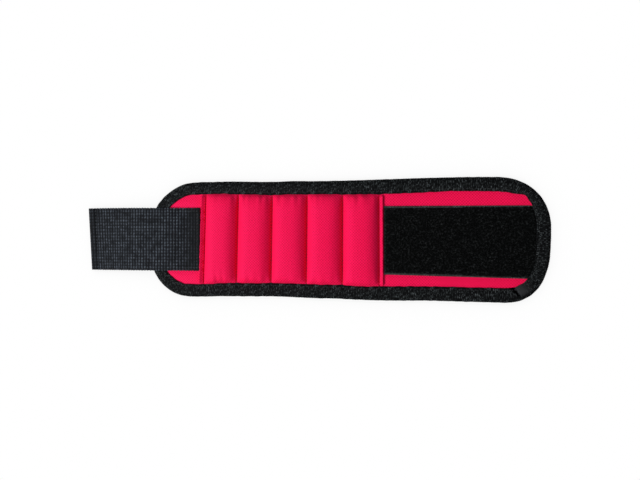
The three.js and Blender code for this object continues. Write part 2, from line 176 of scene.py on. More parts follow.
# %% Floor
FLOOR_HALF = 1.5
CONTACT_REACH = 0.02
CONTACT_SHADE = 0.8
floor_material = bpy.data.materials.new("white_studio_paper")
floor_material.use_nodes = True
tree = floor_material.node_tree
tree.nodes.clear()
closeness = add_node(tree, "ShaderNodeAmbientOcclusion", {"Distance": CONTACT_REACH}, samples=8)
tint = add_node(tree, "ShaderNodeMapRange",
                {"Value": closeness.outputs["AO"], "To Min": CONTACT_SHADE, "To Max": 1.0})
clear = add_node(tree, "ShaderNodeBsdfTransparent", {"Color": tint})
add_node(tree, "ShaderNodeOutputMaterial", {"Surface": clear})
floor_mesh = bpy.data.meshes.new("floor")
corners = [(-FLOOR_HALF, -FLOOR_HALF, 0), (FLOOR_HALF, -FLOOR_HALF, 0),
           (FLOOR_HALF, FLOOR_HALF, 0), (-FLOOR_HALF, FLOOR_HALF, 0)]
floor_mesh.from_pydata(corners, [], [(0, 1, 2, 3)])
floor_mesh.materials.append(floor_material)
floor = bpy.data.objects.new("floor", floor_mesh)
floor.visible_shadow = False
floor.visible_diffuse = False
floor.visible_glossy = False
floor.visible_transmission = False
scene.collection.objects.link(floor)
print("floor is", 2 * FLOOR_HALF, "m wide")

# %% [markdown]
# ## Sizes
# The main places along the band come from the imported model: boxes of its nodes, and the lines that its
# joints turn about. All the shapes below are worked out in millimetres and turned to metres when a mesh
# is made. The band's edge is a long rounded rectangle whose upper corners are a little larger than its
# lower ones.

# %% Places of the band


def box_mm(node):
    """Lowest and highest corner of a CAD node, in mm."""
    low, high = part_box(node)
    return np.array(low) / MM, np.array(high) / MM


BAND_LEFT = box_mm("left_end_binding")[0][0]
BAND_RIGHT, HALF_WIDTH = box_mm("right_end_binding")[1][:2]
UPPER_RADIUS = 36.0
LOWER_RADIUS = 32.5
TAPE_FACE = 9.5
FACE_TOP = box_mm("left_face_panel")[1][2]
FACE_BOTTOM = box_mm("left_face_panel")[0][2]
LINING_TOP = box_mm("left_lining")[1][2]
joint_line = {joint["name"]: joint["pos_m"][0] / MM for joint in frame["joints"]}
seams = [joint_line[name] for name in sorted(joint_line) if name.startswith("seam_")]
POCKETS = range(1, len(seams))
POCKET_PITCH = seams[1] - seams[0]
POCKETS_MIDDLE = (seams[0] + seams[-1]) / 2
print("sewn lines at x =", [round(x, 1) for x in seams], "mm")


def half_at(x, inset, side):
    """Distance from the middle line to the band's edge at x, drawn in by an inset; side is 1 or -1."""
    radius = (UPPER_RADIUS if side > 0 else LOWER_RADIUS) - inset
    past = np.maximum(BAND_LEFT + inset + radius - x, x - (BAND_RIGHT - inset - radius))
    past = np.clip(past, 0, radius)
    return HALF_WIDTH - inset - radius + np.sqrt(radius ** 2 - past ** 2)


def depth_in_band(x, y):
    """How far a point lies inside the band's outline."""
    radius = np.where(y > 0, UPPER_RADIUS, LOWER_RADIUS)
    middle = (BAND_LEFT + BAND_RIGHT) / 2
    along = np.abs(x - middle) - ((BAND_RIGHT - BAND_LEFT) / 2 - radius)
    across = np.abs(y) - (HALF_WIDTH - radius)
    outside = np.hypot(np.maximum(along, 0), np.maximum(across, 0))
    return radius - outside - np.minimum(np.maximum(along, across), 0)


def smooth(value, low, high):
    """0 below low, 1 above high, and an easy S between them."""
    share = np.clip((value - low) / (high - low), 0, 1)
    return share * share * (3 - 2 * share)


# %% [markdown]
# ## Where the long layers are cut
# The real cloth runs unbroken from end to end, and bends at each sewn line and in the loop panel. Each
# long layer is cut in the middle of every rigid length, where nothing bends, so each piece between two
# such cuts holds the one fold inside it.

# %% Spans of the long layers
folds = [*seams, joint_line["panel_fold"]]
cuts = [(a + b) / 2 for a, b in zip(folds, folds[1:])]
SPANS = range(len(folds))


def blend_over_fold(piece):
    """Bakes a piece's place into its mesh."""
    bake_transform(piece)


print("cuts at x =", [round(x, 1) for x in cuts], "mm")

# %% [markdown]
# ## Mesh helpers
# Most layers are slabs: a grid of points on top and the same grid underneath, joined round the rim. The
# helpers below make the faces of a slab or of a swept profile, and store two things on the cloth: a
# ruler, which is a UV map in millimetres along and across the piece, and shares, such as how much of a
# woven relief each point takes. Weaves and ribs are drawn by the ruler, so they follow the cloth when
# it bends.

# %% Helpers for meshes
SHARP = math.radians(55)


def grid_quads(rows, columns, first=0):
    """Faces of a grid numbered row by row, which face +Z when x and y grow with the numbers."""
    index = first + np.arange(rows * columns).reshape(rows, columns)
    return np.stack([index[:-1, :-1], index[:-1, 1:], index[1:, 1:], index[1:, :-1]], -1).reshape(-1, 4)


def slab_quads(rows, columns):
    """Faces of a closed slab: a top grid, then a bottom grid of as many points."""
    count = rows * columns
    index = np.arange(count).reshape(rows, columns)
    rim = np.concatenate([index[0, :-1], index[:-1, -1], index[-1, :0:-1], index[:0:-1, 0]])
    after = np.roll(rim, -1)
    sides = np.stack([rim, rim + count, after + count, after], -1)
    return np.concatenate([grid_quads(rows, columns), grid_quads(rows, columns, count)[:, ::-1], sides])


def tube_faces(sections, around, first=0):
    """Faces of a closed profile of some points swept over some sections, with both ends capped."""
    index = first + np.arange(sections * around).reshape(sections, around)
    after = np.roll(index, -1, axis=1)
    walls = np.stack([index[:-1], index[1:], after[1:], after[:-1]], -1).reshape(-1, 4)
    return [*walls.tolist(), index[0].tolist(), index[-1, ::-1].tolist()]


def make_piece(name, points, faces, material, ruler=None, **shares):
    """A new object at the origin from points in mm. The ruler is a pair of mm values for each point, and
    the shares are further values for each point."""
    points = np.asarray(points, float).reshape(-1, 3)
    mesh = bpy.data.meshes.new(name)
    mesh.from_pydata((points * MM).tolist(), [], [list(face) for face in faces])
    mesh.shade_smooth()
    mesh.set_sharp_from_angle(angle=SHARP)
    if ruler is not None:
        corner = np.empty(len(mesh.loops), np.int32)
        mesh.loops.foreach_get("vertex_index", corner)
        layer = mesh.uv_layers.new(name="cloth")
        layer.uv.foreach_set("vector", np.asarray(ruler, np.float32).reshape(-1, 2)[corner].ravel())
    for label, values in shares.items():
        share = mesh.attributes.new(label, "FLOAT", "POINT")
        share.data.foreach_set("value", np.asarray(values, np.float32).ravel())
    mesh.materials.append(material)
    piece = bpy.data.objects.new(name, mesh)
    scene.collection.objects.link(piece)
    return piece


def face_middles(piece):
    """The middle of every face of a piece, in mm."""
    middles = np.empty(len(piece.data.polygons) * 3, np.float32)
    piece.data.polygons.foreach_get("center", middles)
    return middles.reshape(-1, 3) / MM


def second_material(piece, material, picked):
    """Gives a second material to the picked faces."""
    piece.data.materials.append(material)
    piece.data.polygons.foreach_set("material_index", np.asarray(picked, np.int32))


def ripple(place, period, waves, seed):
    """Smooth unevenness of about -1 to 1 that repeats after a period, from a range of wave counts."""
    rng = np.random.default_rng(seed)
    total = np.zeros_like(np.asarray(place, float))
    for count in range(*waves):
        total += rng.normal() * np.cos(2 * np.pi * count * place / period + rng.uniform(0, 2 * np.pi))
    return total / math.sqrt(waves[1] - waves[0])


print("faces of a 3 by 4 slab:", len(slab_quads(3, 4)))

# %% [markdown]
# ## Geometry nodes helpers
# Stitches, ribs, loops and hooks repeat many times, so geometry nodes make them. Each tree starts with
# the same inputs and ends the same way: its instances are realized and given a material. The result is
# then kept as a plain mesh, because the export drops instances and the joints move plain vertices.

# %% Helpers for geometry nodes


def start_tree(name, sizes):
    """A new geometry tree with named inputs, as (tree, its input sockets)."""
    tree = bpy.data.node_groups.new(name, "GeometryNodeTree")
    tree.interface.new_socket("Geometry", in_out="INPUT", socket_type="NodeSocketGeometry")
    for label in sizes:
        tree.interface.new_socket(label, in_out="INPUT", socket_type="NodeSocketFloat")
    tree.interface.new_socket("Seed", in_out="INPUT", socket_type="NodeSocketInt")
    tree.interface.new_socket("Material", in_out="INPUT", socket_type="NodeSocketMaterial")
    tree.interface.new_socket("Geometry", in_out="OUTPUT", socket_type="NodeSocketGeometry")
    return tree, add_node(tree, "NodeGroupInput").outputs


def end_tree(tree, given, geometry):
    """Realizes what a tree made, smooths it and gives it its material."""
    real = add_node(tree, "GeometryNodeRealizeInstances", {"Geometry": geometry})
    shaded = add_node(tree, "GeometryNodeSetShadeSmooth", {0: real})
    finished = add_node(tree, "GeometryNodeSetMaterial",
                        {"Geometry": shaded, "Material": given["Material"]})
    add_node(tree, "NodeGroupOutput", {"Geometry": finished})


def keep_result(piece):
    """Gives a piece the mesh that its modifiers make of it, as a plain mesh without modifiers."""
    graph = bpy.context.evaluated_depsgraph_get()
    mesh = bpy.data.meshes.new_from_object(
        piece.evaluated_get(graph), preserve_all_data_layers=True, depsgraph=graph)
    piece.modifiers.clear()
    plain = piece.data
    piece.data = mesh
    bpy.data.meshes.remove(plain)


def run_tree(piece, tree, **values):
    """Runs a tree on a piece and keeps the result. Values go to the tree's inputs by their names."""
    modifier = piece.modifiers.new(tree.name, "NODES")
    modifier.node_group = tree
    for item in tree.interface.items_tree:
        if item.in_out == "INPUT" and item.name.replace(" ", "_").lower() in values:
            modifier[item.identifier] = values[item.name.replace(" ", "_").lower()]
    keep_result(piece)


print("geometry trees end in realized, smooth, finished meshes")

# %% [markdown]
# ## Woven relief
# Ribs of the tape, the strap's weave and the holes of the spacer mesh are all one rule: waves along the
# cloth, times waves across it. Where the waves across are left out, ribs remain. Where they are the
# square root of three times as long, the crests make the staggered rows of a knitted mesh. The tree
# moves points along their normals by that rule, so the pattern is in the mesh and not only in its shade.

# %% Tree for the woven relief
relief_tree, given = start_tree("woven_relief", ["Along Waves", "Across Waves", "Low", "High", "Height"])
ruler = add_node(relief_tree, "GeometryNodeInputNamedAttribute", {"Name": "cloth"},
                 data_type="FLOAT_VECTOR")
share = add_node(relief_tree, "GeometryNodeInputNamedAttribute", {"Name": "relief"}, data_type="FLOAT")
place = add_node(relief_tree, "ShaderNodeSeparateXYZ", {0: ruler})
crests = []
for axis, label in (("X", "Along Waves"), ("Y", "Across Waves")):
    turns = add_node(relief_tree, "ShaderNodeMath", {0: place.outputs[axis], 1: given[label]},
                     operation="MULTIPLY")
    angle = add_node(relief_tree, "ShaderNodeMath", {0: turns, 1: 2 * math.pi}, operation="MULTIPLY")
    crests.append(add_node(relief_tree, "ShaderNodeMath", {0: angle}, operation="COSINE"))
wave = add_node(relief_tree, "ShaderNodeMath", {0: crests[0], 1: crests[1]}, operation="MULTIPLY")
crest = add_node(relief_tree, "ShaderNodeMapRange",
                 {"Value": wave, "From Min": given["Low"], "From Max": given["High"]},
                 interpolation_type="SMOOTHSTEP")
rise = add_node(relief_tree, "ShaderNodeMath", {0: crest, 1: given["Height"]}, operation="MULTIPLY")
rise = add_node(relief_tree, "ShaderNodeMath", {0: rise, 1: share}, operation="MULTIPLY")
normal = add_node(relief_tree, "GeometryNodeInputNormal")
offset = add_node(relief_tree, "ShaderNodeVectorMath", {0: normal, "Scale": rise}, operation="SCALE")
moved = add_node(relief_tree, "GeometryNodeSetPosition", {"Geometry": given["Geometry"], "Offset": offset})
end_tree(relief_tree, given, moved)
print("relief tree has", len(relief_tree.nodes), "nodes")

# %% [markdown]
# ## Finish: crimson oxford cloth
# The face cloth and the pockets are a plain-weave polyester with a thin coating on its back. Threads
# pass over and under each other in a small check, which breaks up the light, and the filaments give a
# faint pink sheen where light grazes them. The real threads are about 0.5 mm apart, too fine for the
# picture, so they are drawn about four times as coarse.

# %% Crimson oxford cloth


def start_material(name):
    """A new material with an empty tree."""
    material = bpy.data.materials.new(name)
    material.use_nodes = True
    material.node_tree.nodes.clear()
    return material, material.node_tree


def end_material(tree, inputs):
    """The shader of a material, with its inputs, and the output."""
    shader = add_node(tree, "ShaderNodeBsdfPrincipled", inputs)
    add_node(tree, "ShaderNodeOutputMaterial", {"Surface": shader})


THREAD = 2.1
SLUB = 0.6 * THREAD
BLOTCH = 14.0
red_cloth, tree = start_material("crimson_oxford_polyester")
ruler = add_node(tree, "ShaderNodeUVMap", uv_map="cloth")
place = add_node(tree, "ShaderNodeSeparateXYZ", {0: ruler})
threads = []
for axis in ("X", "Y"):
    angle = add_node(tree, "ShaderNodeMath", {0: place.outputs[axis], 1: 2 * math.pi / THREAD},
                     operation="MULTIPLY")
    threads.append(add_node(tree, "ShaderNodeMath", {0: angle}, operation="SINE"))
weave = add_node(tree, "ShaderNodeMath", {0: threads[0], 1: threads[1]}, operation="MULTIPLY")
slubs = add_node(tree, "ShaderNodeTexNoise", {"Vector": ruler, "Scale": 1 / SLUB, "Detail": 3.0})
blotches = add_node(tree, "ShaderNodeTexNoise", {"Vector": ruler, "Scale": 1 / BLOTCH, "Detail": 2.0})
over = add_node(tree, "ShaderNodeMapRange", {"Value": weave, "From Min": -1.0, "From Max": 1.0})
uneven = add_node(tree, "ShaderNodeMath", {0: over, 1: slubs.outputs["Fac"]}, operation="ADD")
picked = add_node(tree, "ShaderNodeMapRange", {"Value": uneven, "From Min": 0.3, "From Max": 1.3})
base_colour = add_node(tree, "ShaderNodeMix", {"Factor": picked, 6: linear("#BE0418"), 7: linear("#FF1B5A")},
               data_type="RGBA")
wear = add_node(tree, "ShaderNodeMapRange", {"Value": blotches.outputs["Fac"], "To Max": 0.5})
patchy = add_node(tree, "ShaderNodeMix", {"Factor": wear, 6: base_colour.outputs[2], 7: linear("#F00D42")},
                data_type="RGBA")
bump = add_node(tree, "ShaderNodeBump", {"Strength": 0.6, "Distance": 0.1 * MM, "Height": uneven})
end_material(tree, {"Base Color": patchy.outputs[2], "Roughness": 0.6, "IOR": 1.5, "Specular IOR Level": 0.3,
                    "Specular Tint": linear("#FF50C0"), "Sheen Weight": 0.12, "Sheen Roughness": 0.4,
                    "Sheen Tint": linear("#FF5C8E"), "Normal": bump})
print("weave is drawn at", THREAD, "mm")

# %% [markdown]
# ## Finish: black fabrics
# The black fabrics differ mostly in how they are made. The binding is a ribbed tape, the strap a woven
# nylon webbing with a slight blue cast, the lining a knitted spacer mesh, the hook tape a plain nylon
# weave, and the loop patch a brushed knit that swallows nearly all light. All of them show pale flecks
# where a filament turns to the light, so one recipe serves: these glints are painted into the colour, a
# deep and a paler black mixed by a fleck pattern of a size that fits the yarn, and painted stronger on
# the crests of the ribs, where the light catches. Real flecks are finer than the picture can show, so
# they are drawn coarser.

# %% Black tape, webbing, mesh and knit
CLUMP = 6.0
# Shares of the flecks that a rib's trough keeps. Its trough and its crest add up to the last value.
ALONG_TROUGH = 0.0
ACROSS_TROUGH = 0.35
TROUGH_AND_CREST = 1.85


def black_fabric(name, deep, pale, fleck, rib, shine, even=0.0, plain=None):
    """A black textile: flecks of a size in mm, along and across, on ribs of two pitches (0 for none).
    Its flecks are painted glints. Where its points carry a plain share, it has a plain colour, which at
    the strap's sewn end is painted shade."""
    material, tree = start_material(name)
    ruler = add_node(tree, "ShaderNodeUVMap", uv_map="cloth")
    place = add_node(tree, "ShaderNodeSeparateXYZ", {0: ruler})
    stretch = add_node(tree, "ShaderNodeVectorMath", {0: ruler, 1: (1 / fleck[0], 1 / fleck[1], 1.0)},
                       operation="MULTIPLY")
    flecks = add_node(tree, "ShaderNodeTexNoise",
                      {"Vector": stretch, "Scale": 1.0, "Detail": 3.0, "Roughness": 0.7})
    picked = add_node(tree, "ShaderNodeMapRange",
                      {"Value": flecks.outputs["Fac"], "From Min": 0.5, "From Max": 0.78, "To Min": even})
    # Clumps make the painted glints thicker in some patches and thinner in others.
    clumps = add_node(tree, "ShaderNodeTexNoise", {"Vector": ruler, "Scale": 1 / CLUMP, "Detail": 1.0})
    patchy = add_node(tree, "ShaderNodeMapRange", {"Value": clumps.outputs["Fac"], "From Min": 0.3,
                                                 "From Max": 0.7, "To Min": 0.4, "To Max": 1.5})
    picked = add_node(tree, "ShaderNodeMath", {0: picked, 1: patchy}, operation="MULTIPLY")
    # The painted glints gather on the crests of the ribs, where the light catches them.
    for axis, pitch, trough in (("X", rib[0], ALONG_TROUGH), ("Y", rib[1], ACROSS_TROUGH)):
        if pitch:
            turn = add_node(tree, "ShaderNodeMath", {0: place.outputs[axis], 1: 2 * math.pi / pitch},
                            operation="MULTIPLY")
            wave = add_node(tree, "ShaderNodeMath", {0: turn}, operation="COSINE")
            crest = add_node(tree, "ShaderNodeMapRange",
                             {"Value": wave, "From Min": -1.0, "From Max": 1.0, "To Min": trough,
                              "To Max": TROUGH_AND_CREST - trough})
            picked = add_node(tree, "ShaderNodeMath", {0: picked, 1: crest}, operation="MULTIPLY")
    base_colour = add_node(tree, "ShaderNodeMix", {"Factor": picked, 6: linear(deep), 7: linear(pale)},
                   data_type="RGBA")
    if plain:
        pressed = add_node(tree, "ShaderNodeAttribute", attribute_name="pressed")
        base_colour = add_node(tree, "ShaderNodeMix",
                       {"Factor": pressed.outputs["Fac"], 6: base_colour.outputs[2], 7: linear(plain)},
                       data_type="RGBA")
    bump = add_node(tree, "ShaderNodeBump",
                    {"Strength": 0.5, "Distance": 0.08 * MM, "Height": flecks.outputs["Fac"]})
    end_material(tree, {"Base Color": base_colour.outputs[2], "Roughness": 0.7, "IOR": 1.5,
                        "Specular IOR Level": shine, "Sheen Weight": 0.01, "Sheen Roughness": 0.5,
                        "Normal": bump})
    return material


RIB = 1.25
WEBBING_RIB = 2.5
WEBBING_DOT = 2.5
binding_tape = black_fabric(
    "black_grosgrain_tape", "#040506", "#565C5E", (0.8, 1.8), (RIB, 0), 0.06, plain="#2E2F31")
# Near-black without shine, painted as the shade in the gap between the ends of the tape.
tape_gap_shade = black_fabric("black_tape_back", "#010101", "#060607", (0.6, 0.6), (0, 0), 0.0)
webbing_ribs = (WEBBING_RIB, WEBBING_DOT)
# At the strap's sewn end, its plain colour is painted shade.
strap_webbing = black_fabric(
    "black_nylon_webbing", "#05060A", "#525963", (1.2, 1.8), webbing_ribs, 0.08, 0.16, plain="#0D0F11")
spacer_mesh = black_fabric("black_spacer_mesh_knit", "#0B0C0E", "#34373A", (0.6, 0.6), (0, 0), 0.12)
loop_ground = black_fabric("black_loop_tape_knit", "#030404", "#3A3D3E", (1.4, 1.4), (0, 0), 0.04)
pressed_webbing = black_fabric(
    "black_pressed_webbing", "#05060A", "#343940", (1.2, 1.8), webbing_ribs, 0.08, 0.16)
selvedge_knit = black_fabric("black_loop_tape_selvedge", "#242626", "#7A7D80", (0.8, 0.8), (0, 0), 0.08)
hook_nylon = black_fabric("black_nylon_hook_tape", "#0B0C0E", "#2E3034", (0.8, 0.8), (0, 0), 0.25)
print("black fabrics:", binding_tape.name, strap_webbing.name, spacer_mesh.name, loop_ground.name)

# %% [markdown]
# ## Finish: sewing thread
# Thread is a twisted filament yarn, so it is smoother and a little shinier than the cloth it holds. Its
# twist catches the light in slanting bands, which are painted here as light and dark bands of colour,
# drawn as a wave in the object's own space, and a little coarser than a real twist.

# %% Sewing thread
TWIST = 4.0


def sewing_thread(name, deep, pale):
    """A twisted thread with painted light and dark bands where its twist catches the light."""
    material, tree = start_material(name)
    spot = add_node(tree, "ShaderNodeTexCoord")
    # Painted light and shade of the twist, as slanting bands.
    twist_shading = add_node(tree, "ShaderNodeTexWave",
                     {"Vector": spot.outputs["Object"], "Scale": 1 / (TWIST * MM), "Distortion": 1.0},
                     bands_direction="DIAGONAL")
    base_colour = add_node(tree, "ShaderNodeMix", {"Factor": twist_shading, 6: linear(deep), 7: linear(pale)},
                   data_type="RGBA")
    end_material(tree, {"Base Color": base_colour.outputs[2], "Roughness": 0.5, "Specular IOR Level": 0.3})
    return material


red_thread = sewing_thread("crimson_polyester_thread", "#B00630", "#DC1445")
black_thread = sewing_thread("black_polyester_thread", "#131516", "#34383A")
print("threads:", red_thread.name, black_thread.name)

# %% [markdown]
# ## Flat layers
# The face cloth and the lining are cut to the band's outline, a little inside its edge, so that the
# binding covers their raw edges. Both are laid out on a grid over each span between two cuts. The columns
# of the grid stand closer at the round ends, where the outline turns fast.

# %% Helpers for flat layers
EDGE_INSET = 2.2
CLOTH_STEP = 1.1
END_CROWDING = 1.5


def span_grid(span, inset, step):
    """A grid of x and y over one span, inside an inset, with its columns closer at a round end."""
    low = BAND_LEFT + inset if span == 0 else cuts[span - 1]
    high = BAND_RIGHT - inset if span == SPANS[-1] else cuts[span]
    share = np.linspace(0, 1, round((high - low) / step) + 1)
    if span == 0:
        share = share ** END_CROWDING
    if span == SPANS[-1]:
        share = 1 - (1 - share) ** END_CROWDING
    x = low + (high - low) * share
    across = np.linspace(-1, 1, round(2 * HALF_WIDTH / step) + 1)[:, None]
    y = across * np.where(across < 0, half_at(x, inset, -1), half_at(x, inset, 1))
    return np.broadcast_to(x, y.shape), y


def slab_points(x, y, top, bottom):
    """Points of a slab: its top grid and then its bottom grid."""
    grids = [np.stack([x, y, np.broadcast_to(z, x.shape)], -1) for z in (top, bottom)]
    return np.concatenate(grids).reshape(-1, 3)


print("flat layers start", EDGE_INSET, "mm inside the edge")

# %% [markdown]
# ## Face cloth
# One sheet of the crimson cloth runs under everything on the outer side, from end to end. It is sewn
# down along the binding, under the strap and under the loop patch, and between those rows it puffs up
# a little. It is a thin slab here, so that its cut edge has a thickness under the binding.

# %% Face cloth
CLOTH_PUFF = 0.5
PUFF_RISE = 4
PUFF_EVEN = 0.6
LEFT_OF_POCKETS = (1, 6)
RIGHT_OF_POCKETS = (2, 8)
STRAP_LOW, STRAP_HIGH = (corner[1] for corner in box_mm("sewn_strap"))
PATCH_LOW, PATCH_HIGH = (corner[1] for corner in box_mm("inner_loop_patch"))
PATCH_START = box_mm("inner_loop_patch")[0][0]
PATCH_LOW_SLOPE = 0.02
PATCH_HIGH_SLOPE = 0.01
PATCH_HIGH_RISE = 0.6
face_nodes = [["left_face_panel"], *[[f"pocket_backing_{number}"] for number in POCKETS],
              ["inner_face_panel", "outer_face_panel"]]


def patch_sides(x):
    """Lower and upper edge of the loop patch at x. It was laid by hand and runs a little out of square."""
    along = x - PATCH_START
    return PATCH_LOW - PATCH_LOW_SLOPE * along, PATCH_HIGH + PATCH_HIGH_RISE - PATCH_HIGH_SLOPE * along


for span in SPANS:
    x, y = span_grid(span, EDGE_INSET, CLOTH_STEP)
    to_lip = depth_in_band(x, y) - TAPE_FACE
    trim_low, trim_high = (STRAP_LOW, STRAP_HIGH) if span == 0 else patch_sides(x)
    to_trim = np.maximum(y - trim_high, trim_low - y)
    off_pockets = np.maximum(
        smooth(seams[0] - x, *LEFT_OF_POCKETS), smooth(x - seams[-1], *RIGHT_OF_POCKETS))
    puff = CLOTH_PUFF * smooth(to_lip, 0, PUFF_RISE) * smooth(to_trim, 0, PUFF_RISE) * off_pockets
    # Two crossing waves, each about 35 mm long, make the puffs uneven.
    wave = 0.5 + 0.5 * np.sin(x / 7.0 + y / 11.0) * np.cos(x / 12.0 - y / 6.0)
    puff = puff * (PUFF_EVEN + (1 - PUFF_EVEN) * wave)
    rows, columns = x.shape
    points = slab_points(x, y, FACE_TOP + puff, FACE_BOTTOM)
    face_cloth = make_piece(
        f"face_cloth_{span}", points, slab_quads(rows, columns), red_cloth, points[:, :2])
    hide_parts(*face_nodes[span])
    blend_over_fold(face_cloth)
print("face cloth pieces:", len(SPANS))

# %% [markdown]
# ## Mesh lining
# The side that lies on the skin is a black spacer mesh: two knitted faces held apart by fine yarn, with
# rows of open holes that let air through. The holes are staggered like a honeycomb, and their pitch is
# chosen so that every cut between two pieces falls between two rows. Each sewn line draws the mesh in to
# a shallow valley, and the binding presses it flat along the edge.

# %% Mesh lining
MESH_STEP = 0.55
HOLE_ROWS = 17
HOLE_PITCH = 2 * POCKET_PITCH / HOLE_ROWS
HOLE_DEPTH = 1.0
HOLE_RIM = 0.1
HOLE_FLOOR = 0.75
MESH_BOTTOM = 0.12
PRESSED_BOTTOM = 1.05
WIDEST_LIP = TAPE_FACE + 1.7
LIP_EASE = 2
HOLES_FROM = WIDEST_LIP + 1
VALLEY = 0.9
VALLEY_REACH = 1.8
VALLEY_CLOSES = 1.3
lining_nodes = [["left_lining"], *[[f"pocket_lining_{number}"] for number in POCKETS],
                ["inner_lining", "outer_lining"]]
for span in SPANS:
    x, y = span_grid(span, EDGE_INSET, MESH_STEP)
    depth = depth_in_band(x, y)
    free = smooth(depth, WIDEST_LIP, WIDEST_LIP + LIP_EASE)
    valley = sum(np.exp(-((x - seam) / VALLEY_REACH) ** 2) for seam in seams) * free
    bottom = PRESSED_BOTTOM + (MESH_BOTTOM - PRESSED_BOTTOM) * free + VALLEY * valley
    holes = smooth(depth, HOLES_FROM, HOLES_FROM + LIP_EASE) * (1 - np.minimum(1, VALLEY_CLOSES * valley))
    rows, columns = x.shape
    points = slab_points(x, y, LINING_TOP, bottom)
    relief = np.concatenate([np.zeros(x.size), holes.ravel()])
    ruler = points[:, :2] + (HOLE_PITCH / 4 - cuts[0], 0)
    lining = make_piece(f"mesh_lining_{span}", points, slab_quads(rows, columns), spacer_mesh, ruler,
                        relief=relief)
    run_tree(lining, relief_tree, along_waves=1 / HOLE_PITCH, across_waves=1 / (HOLE_PITCH * math.sqrt(3)),
             low=HOLE_RIM, high=HOLE_FLOOR, height=-HOLE_DEPTH * MM, material=spacer_mesh)
    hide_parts(*lining_nodes[span])
    blend_over_fold(lining)
print("holes in the mesh every", round(HOLE_PITCH, 2), "mm")

# %% [markdown]
# ## Binding
# A black ribbed tape is folded over the raw edge of all the layers and sewn through. It is one long
# strip that goes round the band, so its shape here is one profile, a flat C, that is swept along the
# outline. Ribs run across it, and fan out at the rounded ends. The profile's heights and its distances in
# from the edge are in mm, and fit round the layers inside.

# %% Profile and path of the binding
RIB_HEIGHT = 0.22
SECTIONS_PER_RIB = 4
TURN = 2.5
LIP_RELIEF = 0.3
CORNER_POINTS = 361
EDGE_LOOK = 0.5
# The profile goes over the outer face, from the lower lip round the edge to the upper lip, and then back.
profile_in = np.array([
    9.4, 8.4, 6.5, 4.5, 2.5, 1.0, 0.25, 0.0, 0.25, 1.0, 2.5, 3.5, 4.5, 5.5, 6.5, 7.35, 8.2, 8.7, 9.2, 9.5,
    9.5, 6.0, 1.2, 0.9, 0.8, 0.9, 1.2, 6.0, 9.4])
profile_up = np.array([
    0.5, 0.4, 0.28, 0.23, 0.28, 0.65, 1.3, 2.45, 3.7, 4.5, 5.0, 5.11, 5.15, 5.1, 5.0, 4.87, 4.75, 4.75,
    4.75, 4.6, 4.15, 4.12, 4.1, 3.9, 2.45, 1.0, 0.87, 0.86, 0.8])
outer_points = 20
upper_face = slice(8, outer_points)
on_upper_face = np.zeros(len(profile_in))
on_upper_face[upper_face] = 1
profile_across = np.concatenate([[0], np.cumsum(np.hypot(np.diff(profile_in), np.diff(profile_up)))])
profile_relief = np.where(np.arange(len(profile_in)) < outer_points, 1.0, 0.0)
profile_relief[[0, outer_points - 1]] = LIP_RELIEF

corners = ((BAND_RIGHT, -1, LOWER_RADIUS, -90), (BAND_RIGHT, 1, UPPER_RADIUS, 0),
           (BAND_LEFT, 1, UPPER_RADIUS, 90), (BAND_LEFT, -1, LOWER_RADIUS, 180))
outline = []
for end, side, radius, first in corners:
    turn = np.radians(np.linspace(first, first + 90, CORNER_POINTS))
    middle_x = end - radius if end > 0 else end + radius
    middle_y = side * (HALF_WIDTH - radius)
    outline.append(np.stack([middle_x + radius * np.cos(turn), middle_y + radius * np.sin(turn)], -1))
outline = np.concatenate([*outline, outline[0][:1]])
edge_length = np.concatenate([[0], np.cumsum(np.hypot(*np.diff(outline, axis=0).T))])
EDGE_ROUND = edge_length[-1]
top_start = edge_length[2 * CORNER_POINTS - 1]


def edge_at(side, x):
    """Length along the edge to a place on its straight lower or upper side."""
    if side < 0:
        return x - (BAND_RIGHT - LOWER_RADIUS)
    return top_start + (BAND_RIGHT - UPPER_RADIUS) - x


def on_edge(length):
    """Points of the edge at some lengths along it, and the directions that point out of the band."""
    round_length = np.mod(length, EDGE_ROUND)
    place = np.stack([np.interp(round_length, edge_length, outline[:, axis]) for axis in (0, 1)], -1)
    ahead, behind = (np.mod(length + step, EDGE_ROUND) for step in (EDGE_LOOK, -EDGE_LOOK))
    run = np.stack([np.interp(ahead, edge_length, outline[:, axis])
                    - np.interp(behind, edge_length, outline[:, axis]) for axis in (0, 1)], -1)
    run /= np.linalg.norm(run, axis=1, keepdims=True)
    return place, np.stack([run[:, 1], -run[:, 0]], -1)


print("the tape goes", round(EDGE_ROUND), "mm round the band")

# %% [markdown]
# ## How the tape was steered
# The sewer steers the tape by hand, so it strays a little. Each mark below gives a place, how far the edge
# stands out there and how much wider the face is, judged in mm. The tape crowds at the upper right
# corner, where it has to turn. Between the marks the values are eased, because a tape can't jump.

# %% Steering of the binding


def corner_at(corner, degrees):
    """Length along the edge to a place in a corner, from the lower right one (0) anticlockwise."""
    return edge_length[corner * CORNER_POINTS + round((CORNER_POINTS - 1) * degrees / 90)]


